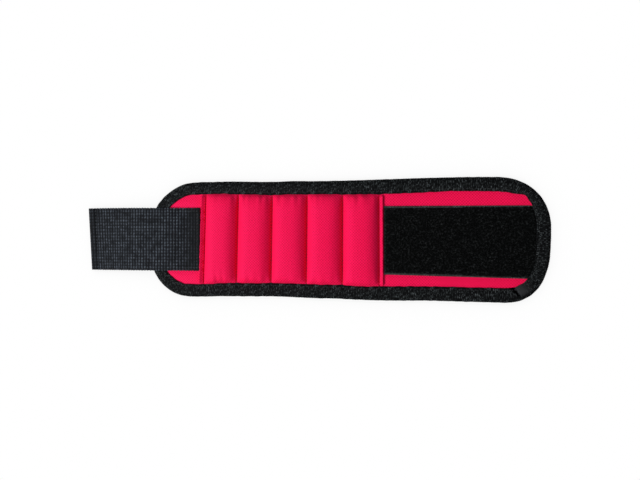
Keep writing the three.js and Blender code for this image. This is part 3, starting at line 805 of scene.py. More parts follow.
steered = [
    (corner_at(0, 0), 1.1, 1.0), (corner_at(0, 30), 1.9, 1.0), (corner_at(0, 45), 0.8, 0.5),
    (corner_at(0, 61), -0.6, 0.4), (corner_at(0, 76), -1.5, 0.4), (corner_at(0, 89), -0.5, 0.4),
    (corner_at(1, 0), 0.6, 0.4), (corner_at(1, 14), -0.4, 0.0),
    (corner_at(1, 30), 0.4, -0.7), (corner_at(1, 41), 0.0, -1.1), (corner_at(1, 49), 0.0, -3.0),
    (corner_at(1, 57), -0.3, -0.3), (corner_at(1, 68), -0.5, 0.9), (corner_at(1, 90), -0.8, 1.2),
    (edge_at(1, 132), -0.1, 1.1), (edge_at(1, 115), -0.1, 0.7), (edge_at(1, 100), 0.0, 1.3),
    (edge_at(1, 75), -0.2, 1.7), (edge_at(1, 60), -0.4, 1.7), (edge_at(1, 36), -0.6, 1.25),
    (edge_at(1, 10), -0.5, 0.7), (edge_at(1, -8), 0.15, 1.1), (edge_at(1, -24), -0.4, 0.9),
    (edge_at(1, -45), 0.5, 0.8), (edge_at(1, -59), 0.9, 0.5), (edge_at(1, -88), 0.9, 0.4),
    (corner_at(2, 12), 0.4, 0.4), (corner_at(2, 30), -0.6, 0.4), (corner_at(2, 45), -0.4, 0.3),
    (corner_at(2, 65), 0.3, 0.3), (corner_at(3, 0), 0.0, 0.3), (corner_at(3, 60), 0.2, 0.6),
    (corner_at(3, 90), 0.9, 0.4), *[(EDGE_ROUND + edge_at(-1, x), shift, wider) for x, shift, wider in (
        (-78, 0.9, 0.4), (-66, 0.1, 1.0), (-40, 0.0, 1.0), (-26, -0.5, 0.8), (-8, -0.2, 1.1),
        (10, 0.5, 1.1), (27, 0.3, 1.1), (45, 1.1, 0.8), (72, 1.2, 1.1), (95, 0.6, 1.0), (125, 1.0, 1.0))]]
steer_at, *steer_marks = np.array(steered).T
OUT_EASE = 6.0
WIDE_EASE = 2.0
EASE_STEP = 0.5
SEAM_FLARE = 0.3
FLARE_REACH = 2.2
WIDTH_UNEVEN = 0.12
ON_STRAIGHT = 0.01
ease_at = np.arange(0, EDGE_ROUND, EASE_STEP)
eased = []
for marks, ease in zip(steer_marks, (OUT_EASE, WIDE_EASE)):
    away = np.minimum(ease_at, EDGE_ROUND - ease_at)
    spread = np.exp(-0.5 * (away / ease) ** 2)
    straight = np.interp(ease_at, steer_at, marks, period=EDGE_ROUND)
    eased.append(np.fft.irfft(np.fft.rfft(straight) * np.fft.rfft(spread / spread.sum()), len(ease_at)))


def tape_out(length):
    """How far the tape's edge strays out of the band's outline, eased between the marks."""
    return np.interp(np.mod(length, EDGE_ROUND), ease_at, eased[0], period=EDGE_ROUND)


def tape_width(length):
    """Width of the tape's upper face along the edge."""
    place, _ = on_edge(length)
    straight = np.abs(np.abs(place[:, 1]) - HALF_WIDTH) < ON_STRAIGHT
    points = sum(np.exp(-np.abs(place[:, 0] - seam) / FLARE_REACH) for seam in seams) * straight
    wider = np.interp(np.mod(length, EDGE_ROUND), ease_at, eased[1], period=EDGE_ROUND)
    return TAPE_FACE + SEAM_FLARE * points + wider + WIDTH_UNEVEN * ripple(length, EDGE_ROUND, (18, 90), 4)


def across_tape(length, inward):
    """Distances in from the tape's edge, stretched to its width at some lengths along it."""
    spread = (tape_width(length) - TURN) / (TAPE_FACE - TURN)
    return np.where(inward > TURN, TURN + (inward - TURN) * spread[:, None], inward)


def lip_edge(side, x):
    """Distance from the middle line to the tape's inner edge at x on a straight side."""
    length = edge_at(side, np.ravel(x))
    inner = HALF_WIDTH + tape_out(length) - tape_width(length)
    return inner.reshape(np.shape(x))


strips = [*[(span, edge_at(-1, cuts[span - 1]), edge_at(-1, cuts[span])) for span in SPANS[1:-1]],
          (SPANS[-1], edge_at(-1, cuts[-1]), edge_at(1, cuts[-1])),
          *[(span, edge_at(1, cuts[span]), edge_at(1, cuts[span - 1])) for span in SPANS[-2:0:-1]],
          (0, edge_at(1, cuts[0]), EDGE_ROUND + edge_at(-1, cuts[0]))]
print("the tape is laid in", len(strips), "strips")

# %% [markdown]
# ## Ends of the tape
# The tape has to begin and end somewhere: at the lower right corner its end is folded under and laid
# over its beginning. So right of a slanting gap, whose faces are painted near-black as the shade in it,
# the strip stands up in a round fold that was pressed smooth, and sinks back from there.

# %% Strips of the binding
GAP_LEVEL = 4.22
GAP_HALF = 1.9
GAP_SLANT = 0.58
GAP_START = 1.7
GAP_PLACE = corner_at(0, 22)
GAP_PLACE_IN = 2.9
GAP_LIMITS = (0.05, 1.2)
FOLD_CLEAR = 1.15
FOLD_HEIGHT = 1.4
FOLD_LENGTH = 14.0
FOLD_LEVEL = 0.15 * FOLD_LENGTH
FOLD_IN = (2.0, 4.5)
TAPE_UNEVEN = 0.07
UPPER_SIDE = 4.11


def gap_line(inward):
    """Length along the edge to the gap between the ends of the tape, at a distance in from the edge."""
    return GAP_PLACE - GAP_SLANT * (inward - GAP_PLACE_IN)


def gap_half(inward):
    """Half the width of the gap, which closes towards the tape's outer edge."""
    return GAP_HALF * np.clip((inward - GAP_START) / (TAPE_FACE - GAP_START), *GAP_LIMITS)


def gap_at(length, inward):
    """1 in the gap between the ends of the tape, and 0 away from it."""
    across = (length - gap_line(inward)) / gap_half(inward)
    return np.exp(-across ** 4) * smooth(inward, GAP_START, GAP_START + 1)


def fold_at(length, inward):
    """How far the folded end of the tape lifts its upper face: a round start, and a long way down."""
    past = length - gap_line(inward) - FOLD_CLEAR * gap_half(inward)
    start = np.clip(past / FOLD_HEIGHT, 0, 1)
    along = np.sqrt(start * (2 - start)) * (1 - smooth(past, FOLD_LEVEL, FOLD_LENGTH))
    return FOLD_HEIGHT * along * smooth(inward, *FOLD_IN)


for span, start, end in strips:
    ribs = round((end - start) / RIB)
    length = np.linspace(start, end, ribs * SECTIONS_PER_RIB + 1)
    place, outward = on_edge(length)
    wander = tape_out(length) + TAPE_UNEVEN * ripple(length, EDGE_ROUND, (25, 120), 9)
    inward = across_tape(length, profile_in)
    flat = place[:, None] + outward[:, None] * (wander[:, None] - inward)[..., None]
    lift = TAPE_UNEVEN * ripple(length, EDGE_ROUND, (30, 140), 12)[:, None] * (profile_up > UPPER_SIDE)
    gap = gap_at(length[:, None], inward)
    fold = fold_at(length[:, None], inward) * on_upper_face
    lift = lift + fold - gap * np.maximum(profile_up - GAP_LEVEL, 0)
    pressed = fold / FOLD_HEIGHT
    points = np.concatenate([flat, (profile_up + lift)[..., None]], -1)
    ruler_x = np.linspace(0, ribs * RIB, len(length))[:, None]
    ruler = np.stack(np.broadcast_arrays(ruler_x, profile_across), -1)
    side = "end" if span in (0, SPANS[-1]) else ("lower" if place[0, 1] < 0 else "upper")
    strip = make_piece(f"{side}_tape_{span}", points, tube_faces(*points.shape[:2]), binding_tape, ruler,
                       relief=profile_relief * (1 - pressed), pressed=pressed)
    run_tree(strip, relief_tree, along_waves=1 / RIB, low=-1.0, high=1.0, height=RIB_HEIGHT * MM,
             material=binding_tape)
    # A face lies in the gap when the average of its four corners does.
    walls = (gap[:-1] + gap[1:] + np.roll(gap[:-1] + gap[1:], -1, axis=1)) / 4
    in_gap = np.zeros(walls.shape, bool)
    in_gap[:, upper_face] = walls[:, upper_face] > 0.5
    if in_gap.any():
        # Faces in the gap are painted near-black, as the shade in the gap.
        second_material(strip, tape_gap_shade, np.append(in_gap.ravel(), [False, False]))
    if span == 0:
        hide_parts("left_end_binding")
    elif span == SPANS[-1]:
        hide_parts("inner_upper_binding", "inner_lower_binding", "right_end_binding")
    else:
        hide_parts(f"{side}_binding_{span}")
    blend_over_fold(strip)

# %% [markdown]
# ## Pocket cloth before it is filled
# The crimson cloth over the magnets is sewn down every 28 mm, with a foam pad in each pocket. Between
# two sewn lines the cloth can only bulge, and at each end it dives under the binding. Each stitch holds
# the cloth down, and between stitches it lifts, which makes the small puckers. A low crown with these
# puckers is where the cloth starts.

# %% Cloth for the pockets
PILLOW_HALF = 13.6
END_TUCK = 0.7
END_SLOPE = 12.0
PILLOW_ROWS = 97
PILLOW_COLUMNS = 39
SEWN_LEVEL = 4.25
CROWN = 4.6
CROWN_FLAT = 2.3
CROWN_SIDE = 0.7
CROWN_NOSE = 0.6
PUCKER = 0.3
PUCKER_SIDES = (0.86, 0.99)
PUCKER_ENDS = (0, 0.1)
STITCH = 2.8
SEWN_SHIFT = [1.7, 1.1, 1.0, 0.9, 0.6, 0.5]
LEAN = 0.012
LEAN_CHANGE = 0.0002
pocket_middles = [(a + b) / 2 for a, b in zip(seams, seams[1:])]


def lean(x, y):
    """How far the sewn lines lean out of square, because the band was sewn by hand and lies relaxed."""
    return np.interp(x, seams, SEWN_SHIFT) + (LEAN - LEAN_CHANGE * (x - POCKETS_MIDDLE)) * y


def pillow_start(number):
    """Points of one pocket's cloth before it is blown up: a low crown between its sewn lines."""
    across = np.linspace(-1, 1, PILLOW_COLUMNS)[None, :]
    x = pocket_middles[number - 1] + PILLOW_HALF * across
    low = -lip_edge(-1, x) - END_TUCK
    high = lip_edge(1, x) + END_TUCK
    y = low + (high - low) * np.linspace(0, 1, PILLOW_ROWS)[:, None]
    side = (1 - np.abs(across) ** CROWN_FLAT) ** CROWN_SIDE
    to_end = np.clip((np.minimum(high - y, y - low) - END_TUCK) / END_SLOPE, 0, 1)
    crown = side * (1 - (1 - to_end) ** 2) ** CROWN_NOSE
    stitched = smooth(np.abs(across), *PUCKER_SIDES) * smooth(to_end, *PUCKER_ENDS)
    pucker = PUCKER * np.abs(np.sin(np.pi * y / STITCH)) * stitched
    x = np.broadcast_to(x, y.shape)
    return np.stack([x + lean(x, y), y, SEWN_LEVEL + CROWN * crown + pucker], -1)


pillow_starts = np.array([pillow_start(number) for number in POCKETS])
print("the cloth of a pocket starts as", PILLOW_ROWS, "by", PILLOW_COLUMNS, "points")

# %% [markdown]
# ## Filled pockets
# The shape of a filled pocket comes from the balance of pad and cloth, so it is simulated. The sheets are
# pinned along their stitches and blown up, ten times larger than life because the solver is made for
# larger cloth.

# %% Simulation of the pockets
SIM_SCALE = 10
SIM_FRAMES = 22


def blow_up(starts):
    """Pins sheets of points along their borders, lets pressure round them, and returns the new points."""
    rows, columns = PILLOW_ROWS, PILLOW_COLUMNS
    count = rows * columns
    mesh = bpy.data.meshes.new("pillow_cloth")
    points = np.concatenate([start.reshape(-1, 3) for start in starts]) * MM * SIM_SCALE
    faces = np.concatenate([grid_quads(rows, columns, count * place) for place in range(len(starts))])
    mesh.from_pydata(points.tolist(), [], faces.tolist())
    cloth_object = bpy.data.objects.new("pillow_cloth", mesh)
    scene.collection.objects.link(cloth_object)
    border = np.zeros((rows, columns), bool)
    border[:, [0, -1]] = True
    border[[0, 1, -2, -1], :] = True
    pinned = np.flatnonzero(np.tile(border.ravel(), len(starts)))
    cloth_object.vertex_groups.new(name="sewn").add(pinned.tolist(), 1.0, "REPLACE")
    cloth = cloth_object.modifiers.new("blow_up", "CLOTH")
    cloth.settings.quality = 5
    cloth.settings.mass = 0.3
    cloth.settings.tension_stiffness = 15
    cloth.settings.compression_stiffness = 15
    cloth.settings.shear_stiffness = 8
    cloth.settings.bending_stiffness = 0.2
    cloth.settings.use_pressure = True
    cloth.settings.uniform_pressure_force = 14
    cloth.settings.vertex_group_mass = "sewn"
    cloth.settings.effector_weights.gravity = 0
    cloth.collision_settings.use_collision = False
    cloth.point_cache.frame_start = 1
    cloth.point_cache.frame_end = SIM_FRAMES
    for step in range(1, SIM_FRAMES + 1):
        scene.frame_set(step)
    graph = bpy.context.evaluated_depsgraph_get()
    blown = cloth_object.evaluated_get(graph).to_mesh()
    moved = np.empty(len(points) * 3, np.float32)
    blown.vertices.foreach_get("co", moved)
    bpy.data.objects.remove(cloth_object)
    scene.frame_set(1)
    return moved.reshape(len(starts), rows, columns, 3).astype(float) / MM / SIM_SCALE


pillow_tops = blow_up(pillow_starts)
moved = np.linalg.norm(pillow_tops - pillow_starts, axis=-1)
print("cloth moved by up to", round(float(moved.max()), 2), "mm")

# %% [markdown]
# ## Fuller pockets with gathered ends
# The simulated cloth is drawn up to the height of the real crowns. The pad inside is flat and fills the
# pocket to its sides, so the cloth is also made fuller: flatter on top and steeper at the sewn lines.
# Where a pocket goes in under the binding, the sewer had to gather its cloth, which leaves a few short
# creases there. They are added to the simulated shape as uneven waves that die away from the binding.

# %% Gathered ends
PILLOW_TOP = 9.8
FULLNESS = 1.55
CREASE = 0.55
CREASE_REACH = 6.0
CREASE_START = (END_TUCK, 4)
CREASE_HEIGHT = (0.3, 1.5)
CREASE_WAVES = (2, 7)
CREASE_SEED = 40
for number, top in enumerate(pillow_tops):
    height = top[..., 2] - SEWN_LEVEL
    for end in (0, -1):
        away = np.abs(top[..., 1] - top[end, :, 1])
        folds_across = ripple(top[..., 0], 2 * PILLOW_HALF, CREASE_WAVES, CREASE_SEED + 2 * number + end)
        crease = CREASE * folds_across * smooth(away, *CREASE_START) * np.exp(-away / CREASE_REACH)
        height = height + crease * smooth(height, *CREASE_HEIGHT)
    to_crown = np.clip(1 - height / height.max(), 0, 1)
    top[..., 2] = SEWN_LEVEL + (PILLOW_TOP - SEWN_LEVEL) * (1 - to_crown ** FULLNESS)
print("crowns at", pillow_tops[..., 2].max(axis=(1, 2)).round(2), "mm")

# %% [markdown]
# ## Pillows
# Each pocket becomes a closed pillow: the shaped cloth on top, and a flat sheet just below the level of
# the sewn lines. It is the same crimson oxford cloth as the face. A pillow is sewn down along both sides,
# so it moves with its own pocket and doesn't have to bend.

# %% Pillows
PILLOW_BOTTOM = 3.95
for number, top in enumerate(pillow_tops, 1):
    rows, columns = top.shape[:2]
    bottom = top.copy()
    bottom[..., 2] = PILLOW_BOTTOM
    points = np.concatenate([top.reshape(-1, 3), bottom.reshape(-1, 3)])
    pillow = make_piece(
        f"pocket_pillow_{number}", points, slab_quads(rows, columns), red_cloth, points[:, :2])
    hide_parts(f"pocket_cover_{number}")
    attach(pillow, f"pocket_{number}")
print("pillows:", len(pillow_tops))

# %% [markdown]
# ## Finish: foam and nickel
# The pads are open-celled polyurethane foam, which is chalky and pitted, and lets a little light in. Its
# pores are painted darker, as the shade inside them. The magnets are plated with nickel, a warm grey
# mirror that is dulled by a fine haze.

# %% Foam and nickel
FOAM_PORE = 0.9
FOAM_LIGHT_DEPTH = (0.002, 0.002, 0.0015)
NICKEL_HAZE = 1.5
pad_foam, tree = start_material("white_polyurethane_foam")
spot = add_node(tree, "ShaderNodeTexCoord")
pores = add_node(tree, "ShaderNodeTexVoronoi",
                 {"Vector": spot.outputs["Object"], "Scale": 1 / (FOAM_PORE * MM)})
# Each pore is painted darker at its middle, as the shade inside it.
painted_pore_shade = add_node(tree, "ShaderNodeMix",
                 {"Factor": pores.outputs["Distance"], 6: linear("#D8D2C0"), 7: linear("#F2EEE2")},
                 data_type="RGBA")
bump = add_node(tree, "ShaderNodeBump",
                {"Strength": 0.5, "Distance": 0.2 * MM, "Height": pores.outputs["Distance"]})
end_material(tree, {"Base Color": painted_pore_shade.outputs[2], "Roughness": 0.9, "Subsurface Weight": 0.1,
                    "Subsurface Radius": FOAM_LIGHT_DEPTH, "Normal": bump})

nickel_plate, tree = start_material("nickel_plated_magnet")
spot = add_node(tree, "ShaderNodeTexCoord")
haze = add_node(tree, "ShaderNodeTexNoise",
                {"Vector": spot.outputs["Object"], "Scale": 1 / (NICKEL_HAZE * MM), "Detail": 5.0})
matt = add_node(tree, "ShaderNodeMapRange", {"Value": haze.outputs["Fac"], "To Min": 0.16, "To Max": 0.34})
end_material(tree, {"Base Color": linear("#CFCBC2"), "Metallic": 1.0, "Roughness": matt})
print("finishes inside the pockets:", pad_foam.name, nickel_plate.name)

# %% [markdown]
# ## Foam pads and magnets
# Under each pillow lies a soft white foam pad with three disc magnets in holes in its underside. None of
# it shows while the pocket is whole, but it is what fills the pocket. The pads start from the CAD pads,
# remade in small even cells and softened, and are then pressed in under their pillow, as the cloth
# does with real foam. The magnets keep their CAD shape, because a plated disc is exactly that.

# %% Foam pads and magnets
FOAM_CELL = 0.7
CLOTH_THICKNESS = 0.6
FOAM_ROUNDING = 4
WELD = 0.01


def soften(piece):
    """Remakes a mesh in small even cells, rounds it, and keeps the result."""
    remesh = piece.modifiers.new("cells", "REMESH")
    remesh.mode = "VOXEL"
    remesh.voxel_size = FOAM_CELL * MM
    rounding = piece.modifiers.new("round", "SMOOTH")
    rounding.iterations = FOAM_ROUNDING
    keep_result(piece)
    piece.data.shade_smooth()
    piece.data.materials.clear()
    piece.data.materials.append(pad_foam)


def press_under(piece, number):
    """Presses a pad in under its pillow, by the pillow's height over each point."""
    top = pillow_tops[number - 1]
    rows, columns = top.shape[:2]
    points = np.empty(len(piece.data.vertices) * 3, np.float32)
    piece.data.vertices.foreach_get("co", points)
    points = points.reshape(-1, 3).astype(float) / MM
    left, right = (np.interp(points[:, 1], top[:, column, 1], top[:, column, 0]) for column in (1, -2))
    points[:, 0] = np.clip(points[:, 0], left + 2 * CLOTH_THICKNESS, right - 2 * CLOTH_THICKNESS)
    points[:, 1] = np.clip(points[:, 1], top[2, :, 1].max(), top[-3, :, 1].min())
    column = (points[:, 0] - left) / (right - left) * (columns - 3) + 1
    column = np.clip(column, 0, columns - 1).round().astype(int)
    row = np.interp(points[:, 1], top[:, columns // 2, 1], np.arange(rows))
    row = np.clip(row, 0, rows - 1).round().astype(int)
    points[:, 2] = np.minimum(points[:, 2], top[row, column, 2] - CLOTH_THICKNESS)
    piece.data.vertices.foreach_set("co", (points * MM).ravel())


for number in POCKETS:
    foam = bpy.data.objects.new(f"soft_pad_{number}", bpy.data.objects[f"foam_pad_{number}"].data.copy())
    scene.collection.objects.link(foam)
    shape = bmesh.new()
    shape.from_mesh(foam.data)
    bmesh.ops.remove_doubles(shape, verts=shape.verts, dist=WELD * MM)
    shape.to_mesh(foam.data)
    shape.free()
    soften(foam)
    press_under(foam, number)
    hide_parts(f"foam_pad_{number}")
    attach(foam, f"pocket_{number}")
magnets = [item for item in bpy.data.objects if item.name.startswith("magnet_")]
for magnet in magnets:
    magnet.material_slots[0].material = nickel_plate
print("pads:", len(POCKETS), "and magnets:", len(magnets))

# %% [markdown]
# ## Hems of the pocket cloth
# At both ends of the row of pockets, the cloth is turned under and sewn down close to the fold, so a
# narrow doubled edge stands out beyond the last stitches. It is a flattened loop of cloth in section,
# held down at its sewn side, with its free fold lifted a little.

# %% Hems
HEM_TUCK = 0.5
HEM_THICK = 1.3
HEM_ROWS = 101
HEM_TURN_POINTS = 9
HEM_ROOT = 0.15
HEM_FLAT_SHARE = 0.6
HEM_FREE_SHARE = 0.3
HEM_END_SHARE = 0.1
HEM_EASE = 2
HEM_UNEVEN = 0.12
HEM_PUCKER = 0.10
HEM_CLEAR = 0.1
hems = (("left_hem", seams[0], "pocket_1", -1, 3.0, 34),
        ("right_hem", seams[-1], "pocket_5", 1, 2.7, 12))
for name, seam, body, outward, width, lift in hems:
    half = HEM_THICK / 2
    middle_x = seam + outward * width / 2
    hem_low, hem_high = (side * (float(lip_edge(side, middle_x)) + HEM_TUCK) for side in (-1, 1))
    hem_rows = np.linspace(hem_low, hem_high, HEM_ROWS)
    to_end = np.minimum(hem_rows - hem_low, hem_high - hem_rows)
    turn = np.radians(np.linspace(-90, 90, HEM_TURN_POINTS))
    sewn = [HEM_ROOT, HEM_FLAT_SHARE * width]
    reach = np.concatenate([sewn, width - half + half * np.cos(turn), sewn[::-1]])
    rise = np.concatenate([[-half, -half], half * np.sin(turn), [half, half]])
    flat = HEM_END_SHARE + (1 - HEM_END_SHARE) * smooth(to_end, HEM_TUCK, HEM_TUCK + HEM_EASE)
    uneven = HEM_UNEVEN * ripple(hem_rows, hem_high - hem_low, (3, 16), 21)
    stitched = HEM_PUCKER * np.cos(2 * np.pi * hem_rows / STITCH)
    out = reach * (1 + (uneven + stitched)[:, None] * (reach > HEM_FREE_SHARE * width) / width)
    x = seam + outward * out + lean(seam, hem_rows)[:, None]
    z = FACE_TOP + HEM_CLEAR + (half + rise + math.tan(math.radians(lift)) * reach) * flat[:, None]
    y = np.broadcast_to(hem_rows[:, None], x.shape)
    points = np.stack([x, y, z], -1)
    # The left hem is a mirror image, so its points go round the other way to keep its faces outward.
    points = points if outward > 0 else points[:, ::-1]
    hem = make_piece(name, points, tube_faces(*x.shape), red_cloth, points[..., :2])
    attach(hem, body)
    print(name, "is", width, "mm wide")

# %% [markdown]
# ## Side view of the strap
# The strap is a flat black nylon webbing. One end is sewn under the first pocket's edge and steps up
# over the binding, and the rest hangs free and droops to the table. Its cut end is turned under and
# sewn. So the ribbon follows one line seen from the side, which turns round in the hem.

# %% Side view of the strap
STRAP_THICK = 1.2
STRAP_STEP = 0.4
HEM_FOLD = 0.63
HINGE = joint_line["strap_peel"]
TIP_PAST_CAD = 1.9
START_PAST_CAD = 0.6
STRAP_TIP = box_mm("free_strap")[0][0] - TIP_PAST_CAD
STRAP_START = box_mm("sewn_strap")[1][0] + START_PAST_CAD
SEWN_BOTTOM = box_mm("sewn_strap")[0][2]
OVER_LIP = 5.15
TIP_BOTTOM = 2.05
STEP_UP = (-109.0, -96.0)
DROOP_START = 0.92
DROOP_LENGTH = 56
DROOP_SHARE = 0.85
TURNED_UNDER = 6.5
TURN_POINTS = 13
UNDER_POINTS = 12


def strap_bottom(x):
    """Height of the strap's underside: low where it is sewn, up over the binding, drooping to its tip."""
    sewn = SEWN_BOTTOM + (OVER_LIP - SEWN_BOTTOM) * smooth(-x, -STEP_UP[1], -STEP_UP[0])
    droop = smooth((HINGE - DROOP_START - x) / DROOP_LENGTH, 0, DROOP_SHARE)
    return sewn + (TIP_BOTTOM - OVER_LIP) * droop


def strap_line():
    """The strap's middle line from its turned-under end, round the fold and along to its sewn end."""
    fold_x = STRAP_TIP + HEM_FOLD + STRAP_THICK / 2
    tip_z = strap_bottom(STRAP_TIP) + STRAP_THICK / 2
    turn = np.radians(np.linspace(270, 90, TURN_POINTS))
    main_x = np.arange(fold_x, STRAP_START, STRAP_STEP)[1:]
    hem_x = np.linspace(STRAP_TIP + TURNED_UNDER, fold_x, UNDER_POINTS)[:-1]
    x = np.concatenate([hem_x, fold_x + HEM_FOLD * np.cos(turn), main_x])
    z = np.concatenate([
        np.full_like(hem_x, tip_z - 2 * HEM_FOLD), tip_z - HEM_FOLD + HEM_FOLD * np.sin(turn),
        strap_bottom(main_x) + STRAP_THICK / 2])
    return x, z, len(hem_x)


x, z, hem_count = strap_line()
length = np.concatenate([[0], np.cumsum(np.hypot(np.diff(x), np.diff(z)))])
print("webbing is", round(length[-1]), "mm long with its hem")

# %% [markdown]
# ## Strap
# The webbing was cut slightly askew, flares a little towards its tip and has a groove along its hem. Two
# passes of the woven relief give it ribs and rows of dots. The sewn end lies in the shade of the pockets,
# and that shade is painted on: its pale flecks fade to a plain near-black there.

# %% Strap
STRAP_ROW = 0.45
HEM_DIP = 0.7
HEM_DIP_REACH = 0.55
HEM_SLANT = 0.05
TIP_FLARE = 0.045
FLARE = (85, 175)
SKEW = 3.5
SKEW_FROM = 140
STRAP_UNEVEN = 0.003
RIB_RISE = 0.22
DOT_RISE = 0.2
HEM_RELIEF = 0.35
UNDER_RELIEF = 0.4
WALL_STRETCH = 1.05
PAINTED_SHADE_SPAN = (-101.0, -86.0)
PAINTED_SHADE_SHARE = 0.75
run = np.stack([np.gradient(x), np.gradient(z)], -1)
run /= np.linalg.norm(run, axis=1, keepdims=True)
side_x, side_z = -run[:, 1], run[:, 0]
y = np.linspace(STRAP_LOW, STRAP_HIGH, round((STRAP_HIGH - STRAP_LOW) / STRAP_ROW) + 1)[:, None]
near_tip = np.concatenate([
    np.linspace(0, 1, hem_count), smooth(-x[hem_count:], SKEW_FROM, -STRAP_TIP - 2)])
shift = SKEW * (STRAP_HIGH - y) / (STRAP_HIGH - STRAP_LOW) * near_tip
edge_wave = 1 + STRAP_UNEVEN * ripple(length, length[-1], (6, 40), 31)
flare = 1 + TIP_FLARE * smooth(-x, *FLARE) * (y > 0)
hem_line = STRAP_TIP + TURNED_UNDER
past_turn = np.arange(len(x)) >= hem_count + TURN_POINTS
dip = np.where(past_turn, HEM_DIP * np.exp(-((x - hem_line) / HEM_DIP_REACH) ** 2), 0)
layers = []
for offset in (STRAP_THICK / 2, -STRAP_THICK / 2):
    drop = dip if offset > 0 else 0
    layers.append(np.stack(np.broadcast_arrays(
        x + offset * side_x + shift, y * edge_wave * flare, z + offset * side_z - drop), -1))
points = np.concatenate([layer.reshape(-1, 3) for layer in layers])
ruler = np.stack(np.broadcast_arrays(length, y), -1).reshape(-1, 2)
ruler = np.concatenate([ruler, ruler * (1, WALL_STRETCH)])
ribbed = np.where(x < hem_line, HEM_RELIEF, 1.0)
relief = np.concatenate([np.tile(ribbed, len(y)), np.full(len(points) // 2, UNDER_RELIEF)])
# The sewn end is painted towards a plain near-black, as shade.
strap = make_piece("webbing_strap", points, slab_quads(len(y), len(x)), strap_webbing, ruler,
                   relief=relief, pressed=PAINTED_SHADE_SHARE * smooth(points[:, 0], *PAINTED_SHADE_SPAN))
run_tree(strap, relief_tree, along_waves=1 / WEBBING_RIB, low=-1.0, high=1.0, height=RIB_RISE * MM,
         material=strap_webbing)
run_tree(strap, relief_tree, along_waves=1 / WEBBING_RIB, across_waves=1 / WEBBING_DOT, low=0.0, high=0.9,
         height=DOT_RISE * MM, material=strap_webbing)
middle = face_middles(strap)
second_material(strap, pressed_webbing, middle[:, 0] < hem_line + HEM_SLANT * (STRAP_HIGH - middle[:, 1]))
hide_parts("sewn_strap", "free_strap")
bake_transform(strap)
print("strap has", len(strap.data.polygons), "faces")

# %% [markdown]
# ## Hooks and loops
# Hook-and-loop tape closes the band. The loop half is a knit whose fine yarn is brushed up into a dense
# felt of open loops. The hook half is a stiff tape with rows of small nylon hooks. Real loops and hooks
# are about 0.3 mm across and number tens of thousands, so both are drawn some three times coarser. One
# tree bends a short length of yarn to an open ring and sets one on every point of a scattered mesh.

# %% Tree for hooks and loops
LOOP_POINTS = 8
YARN_SIDES = 3
LOOP_LEAN = 0.5
LOOP_SIZES = (0.75, 1.15)
SEED_STEP = 100.0
loop_tree, given = start_tree("yarn_loops", ["Radius", "Yarn", "Start Angle", "Sweep", "Tip Over", "Spin"])
ring = add_node(loop_tree, "GeometryNodeCurveArc",
                {"Resolution": LOOP_POINTS, "Radius": given["Radius"], "Start Angle": given["Start Angle"],
                 "Sweep Angle": given["Sweep"]})
yarn = add_node(loop_tree, "GeometryNodeCurvePrimitiveCircle",
                {"Resolution": YARN_SIDES, "Radius": given["Yarn"]})
tube = add_node(loop_tree, "GeometryNodeCurveToMesh",
                {"Curve": ring.outputs["Curve"], "Profile Curve": yarn.outputs["Curve"],
                 "Fill Caps": True})
upright = add_node(loop_tree, "GeometryNodeTransform", {"Geometry": tube, "Rotation": (math.pi / 2, 0, 0)})
spin = add_node(loop_tree, "FunctionNodeRandomValue", {2: 0.0, 3: given["Spin"], "Seed": given["Seed"]},
                data_type="FLOAT")
other_seed = add_node(loop_tree, "ShaderNodeMath", {0: given["Seed"], 1: SEED_STEP}, operation="ADD")
lean_turn = add_node(loop_tree, "FunctionNodeRandomValue",
                     {2: -LOOP_LEAN, 3: LOOP_LEAN, "Seed": other_seed}, data_type="FLOAT")
tip = add_node(loop_tree, "ShaderNodeMath", {0: given["Tip Over"], 1: lean_turn.outputs[1]},
               operation="ADD")
facing = add_node(loop_tree, "ShaderNodeCombineXYZ", {"X": tip, "Z": spin.outputs[1]})
size = add_node(loop_tree, "FunctionNodeRandomValue",
                {2: LOOP_SIZES[0], 3: LOOP_SIZES[1], "Seed": given["Seed"]}, data_type="FLOAT")
placed = add_node(loop_tree, "GeometryNodeInstanceOnPoints",
                  {"Points": given["Geometry"], "Instance": upright, "Rotation": facing,
                   "Scale": size.outputs[1]})
end_tree(loop_tree, given, placed)
print("one loop is", (LOOP_POINTS - 1) * YARN_SIDES, "faces and two caps")


def scatter(name, points, edges=()):
    """A mesh of points in mm, loose or joined by edges, for a tree to work on."""
    mesh = bpy.data.meshes.new(name)
    mesh.from_pydata((np.asarray(points) * MM).tolist(), edges, [])
    piece = bpy.data.objects.new(name, mesh)
    scene.collection.objects.link(piece)
    return piece


# %% [markdown]
# ## Loop patch
# The patch is a strip of loop tape, laid by hand and caught under the binding at its right end. Its ground
# is a slab with a felted, uneven top. The edges of the tape, its selvedges, carry no loops, and their
# paler strip narrows towards the right.

# %% Ground of the loop patch
PATCH_BASE = box_mm("inner_loop_patch")[0][2]
PATCH_GROUND = 0.95
PATCH_SINK = 0.15
PATCH_COLUMNS = 180
PATCH_ROWS = 71
LIP_INSET = 9.75
PATCH_RISE_FROM = LIP_INSET + 0.2
PATCH_FULL_FROM = LIP_INSET + 0.9
PATCH_TUCK = 7.0
FELT = 0.12
SELVEDGE = 1.5
SELVEDGE_NARROWING = 0.7
NARROWING_FROM_TO = (100, 150)
patch_end = BAND_RIGHT - PATCH_TUCK
share = 1 - (1 - np.linspace(0, 1, PATCH_COLUMNS)) ** END_CROWDING
x = PATCH_START + (patch_end - PATCH_START) * share
low = np.maximum(patch_sides(x)[0], -half_at(x, PATCH_TUCK, -1))
high = np.minimum(patch_sides(x)[1], half_at(x, PATCH_TUCK, 1))
y = low + (high - low) * np.linspace(0, 1, PATCH_ROWS)[:, None]
x = np.broadcast_to(x, y.shape)
full = smooth(depth_in_band(x, y), PATCH_RISE_FROM, PATCH_FULL_FROM)
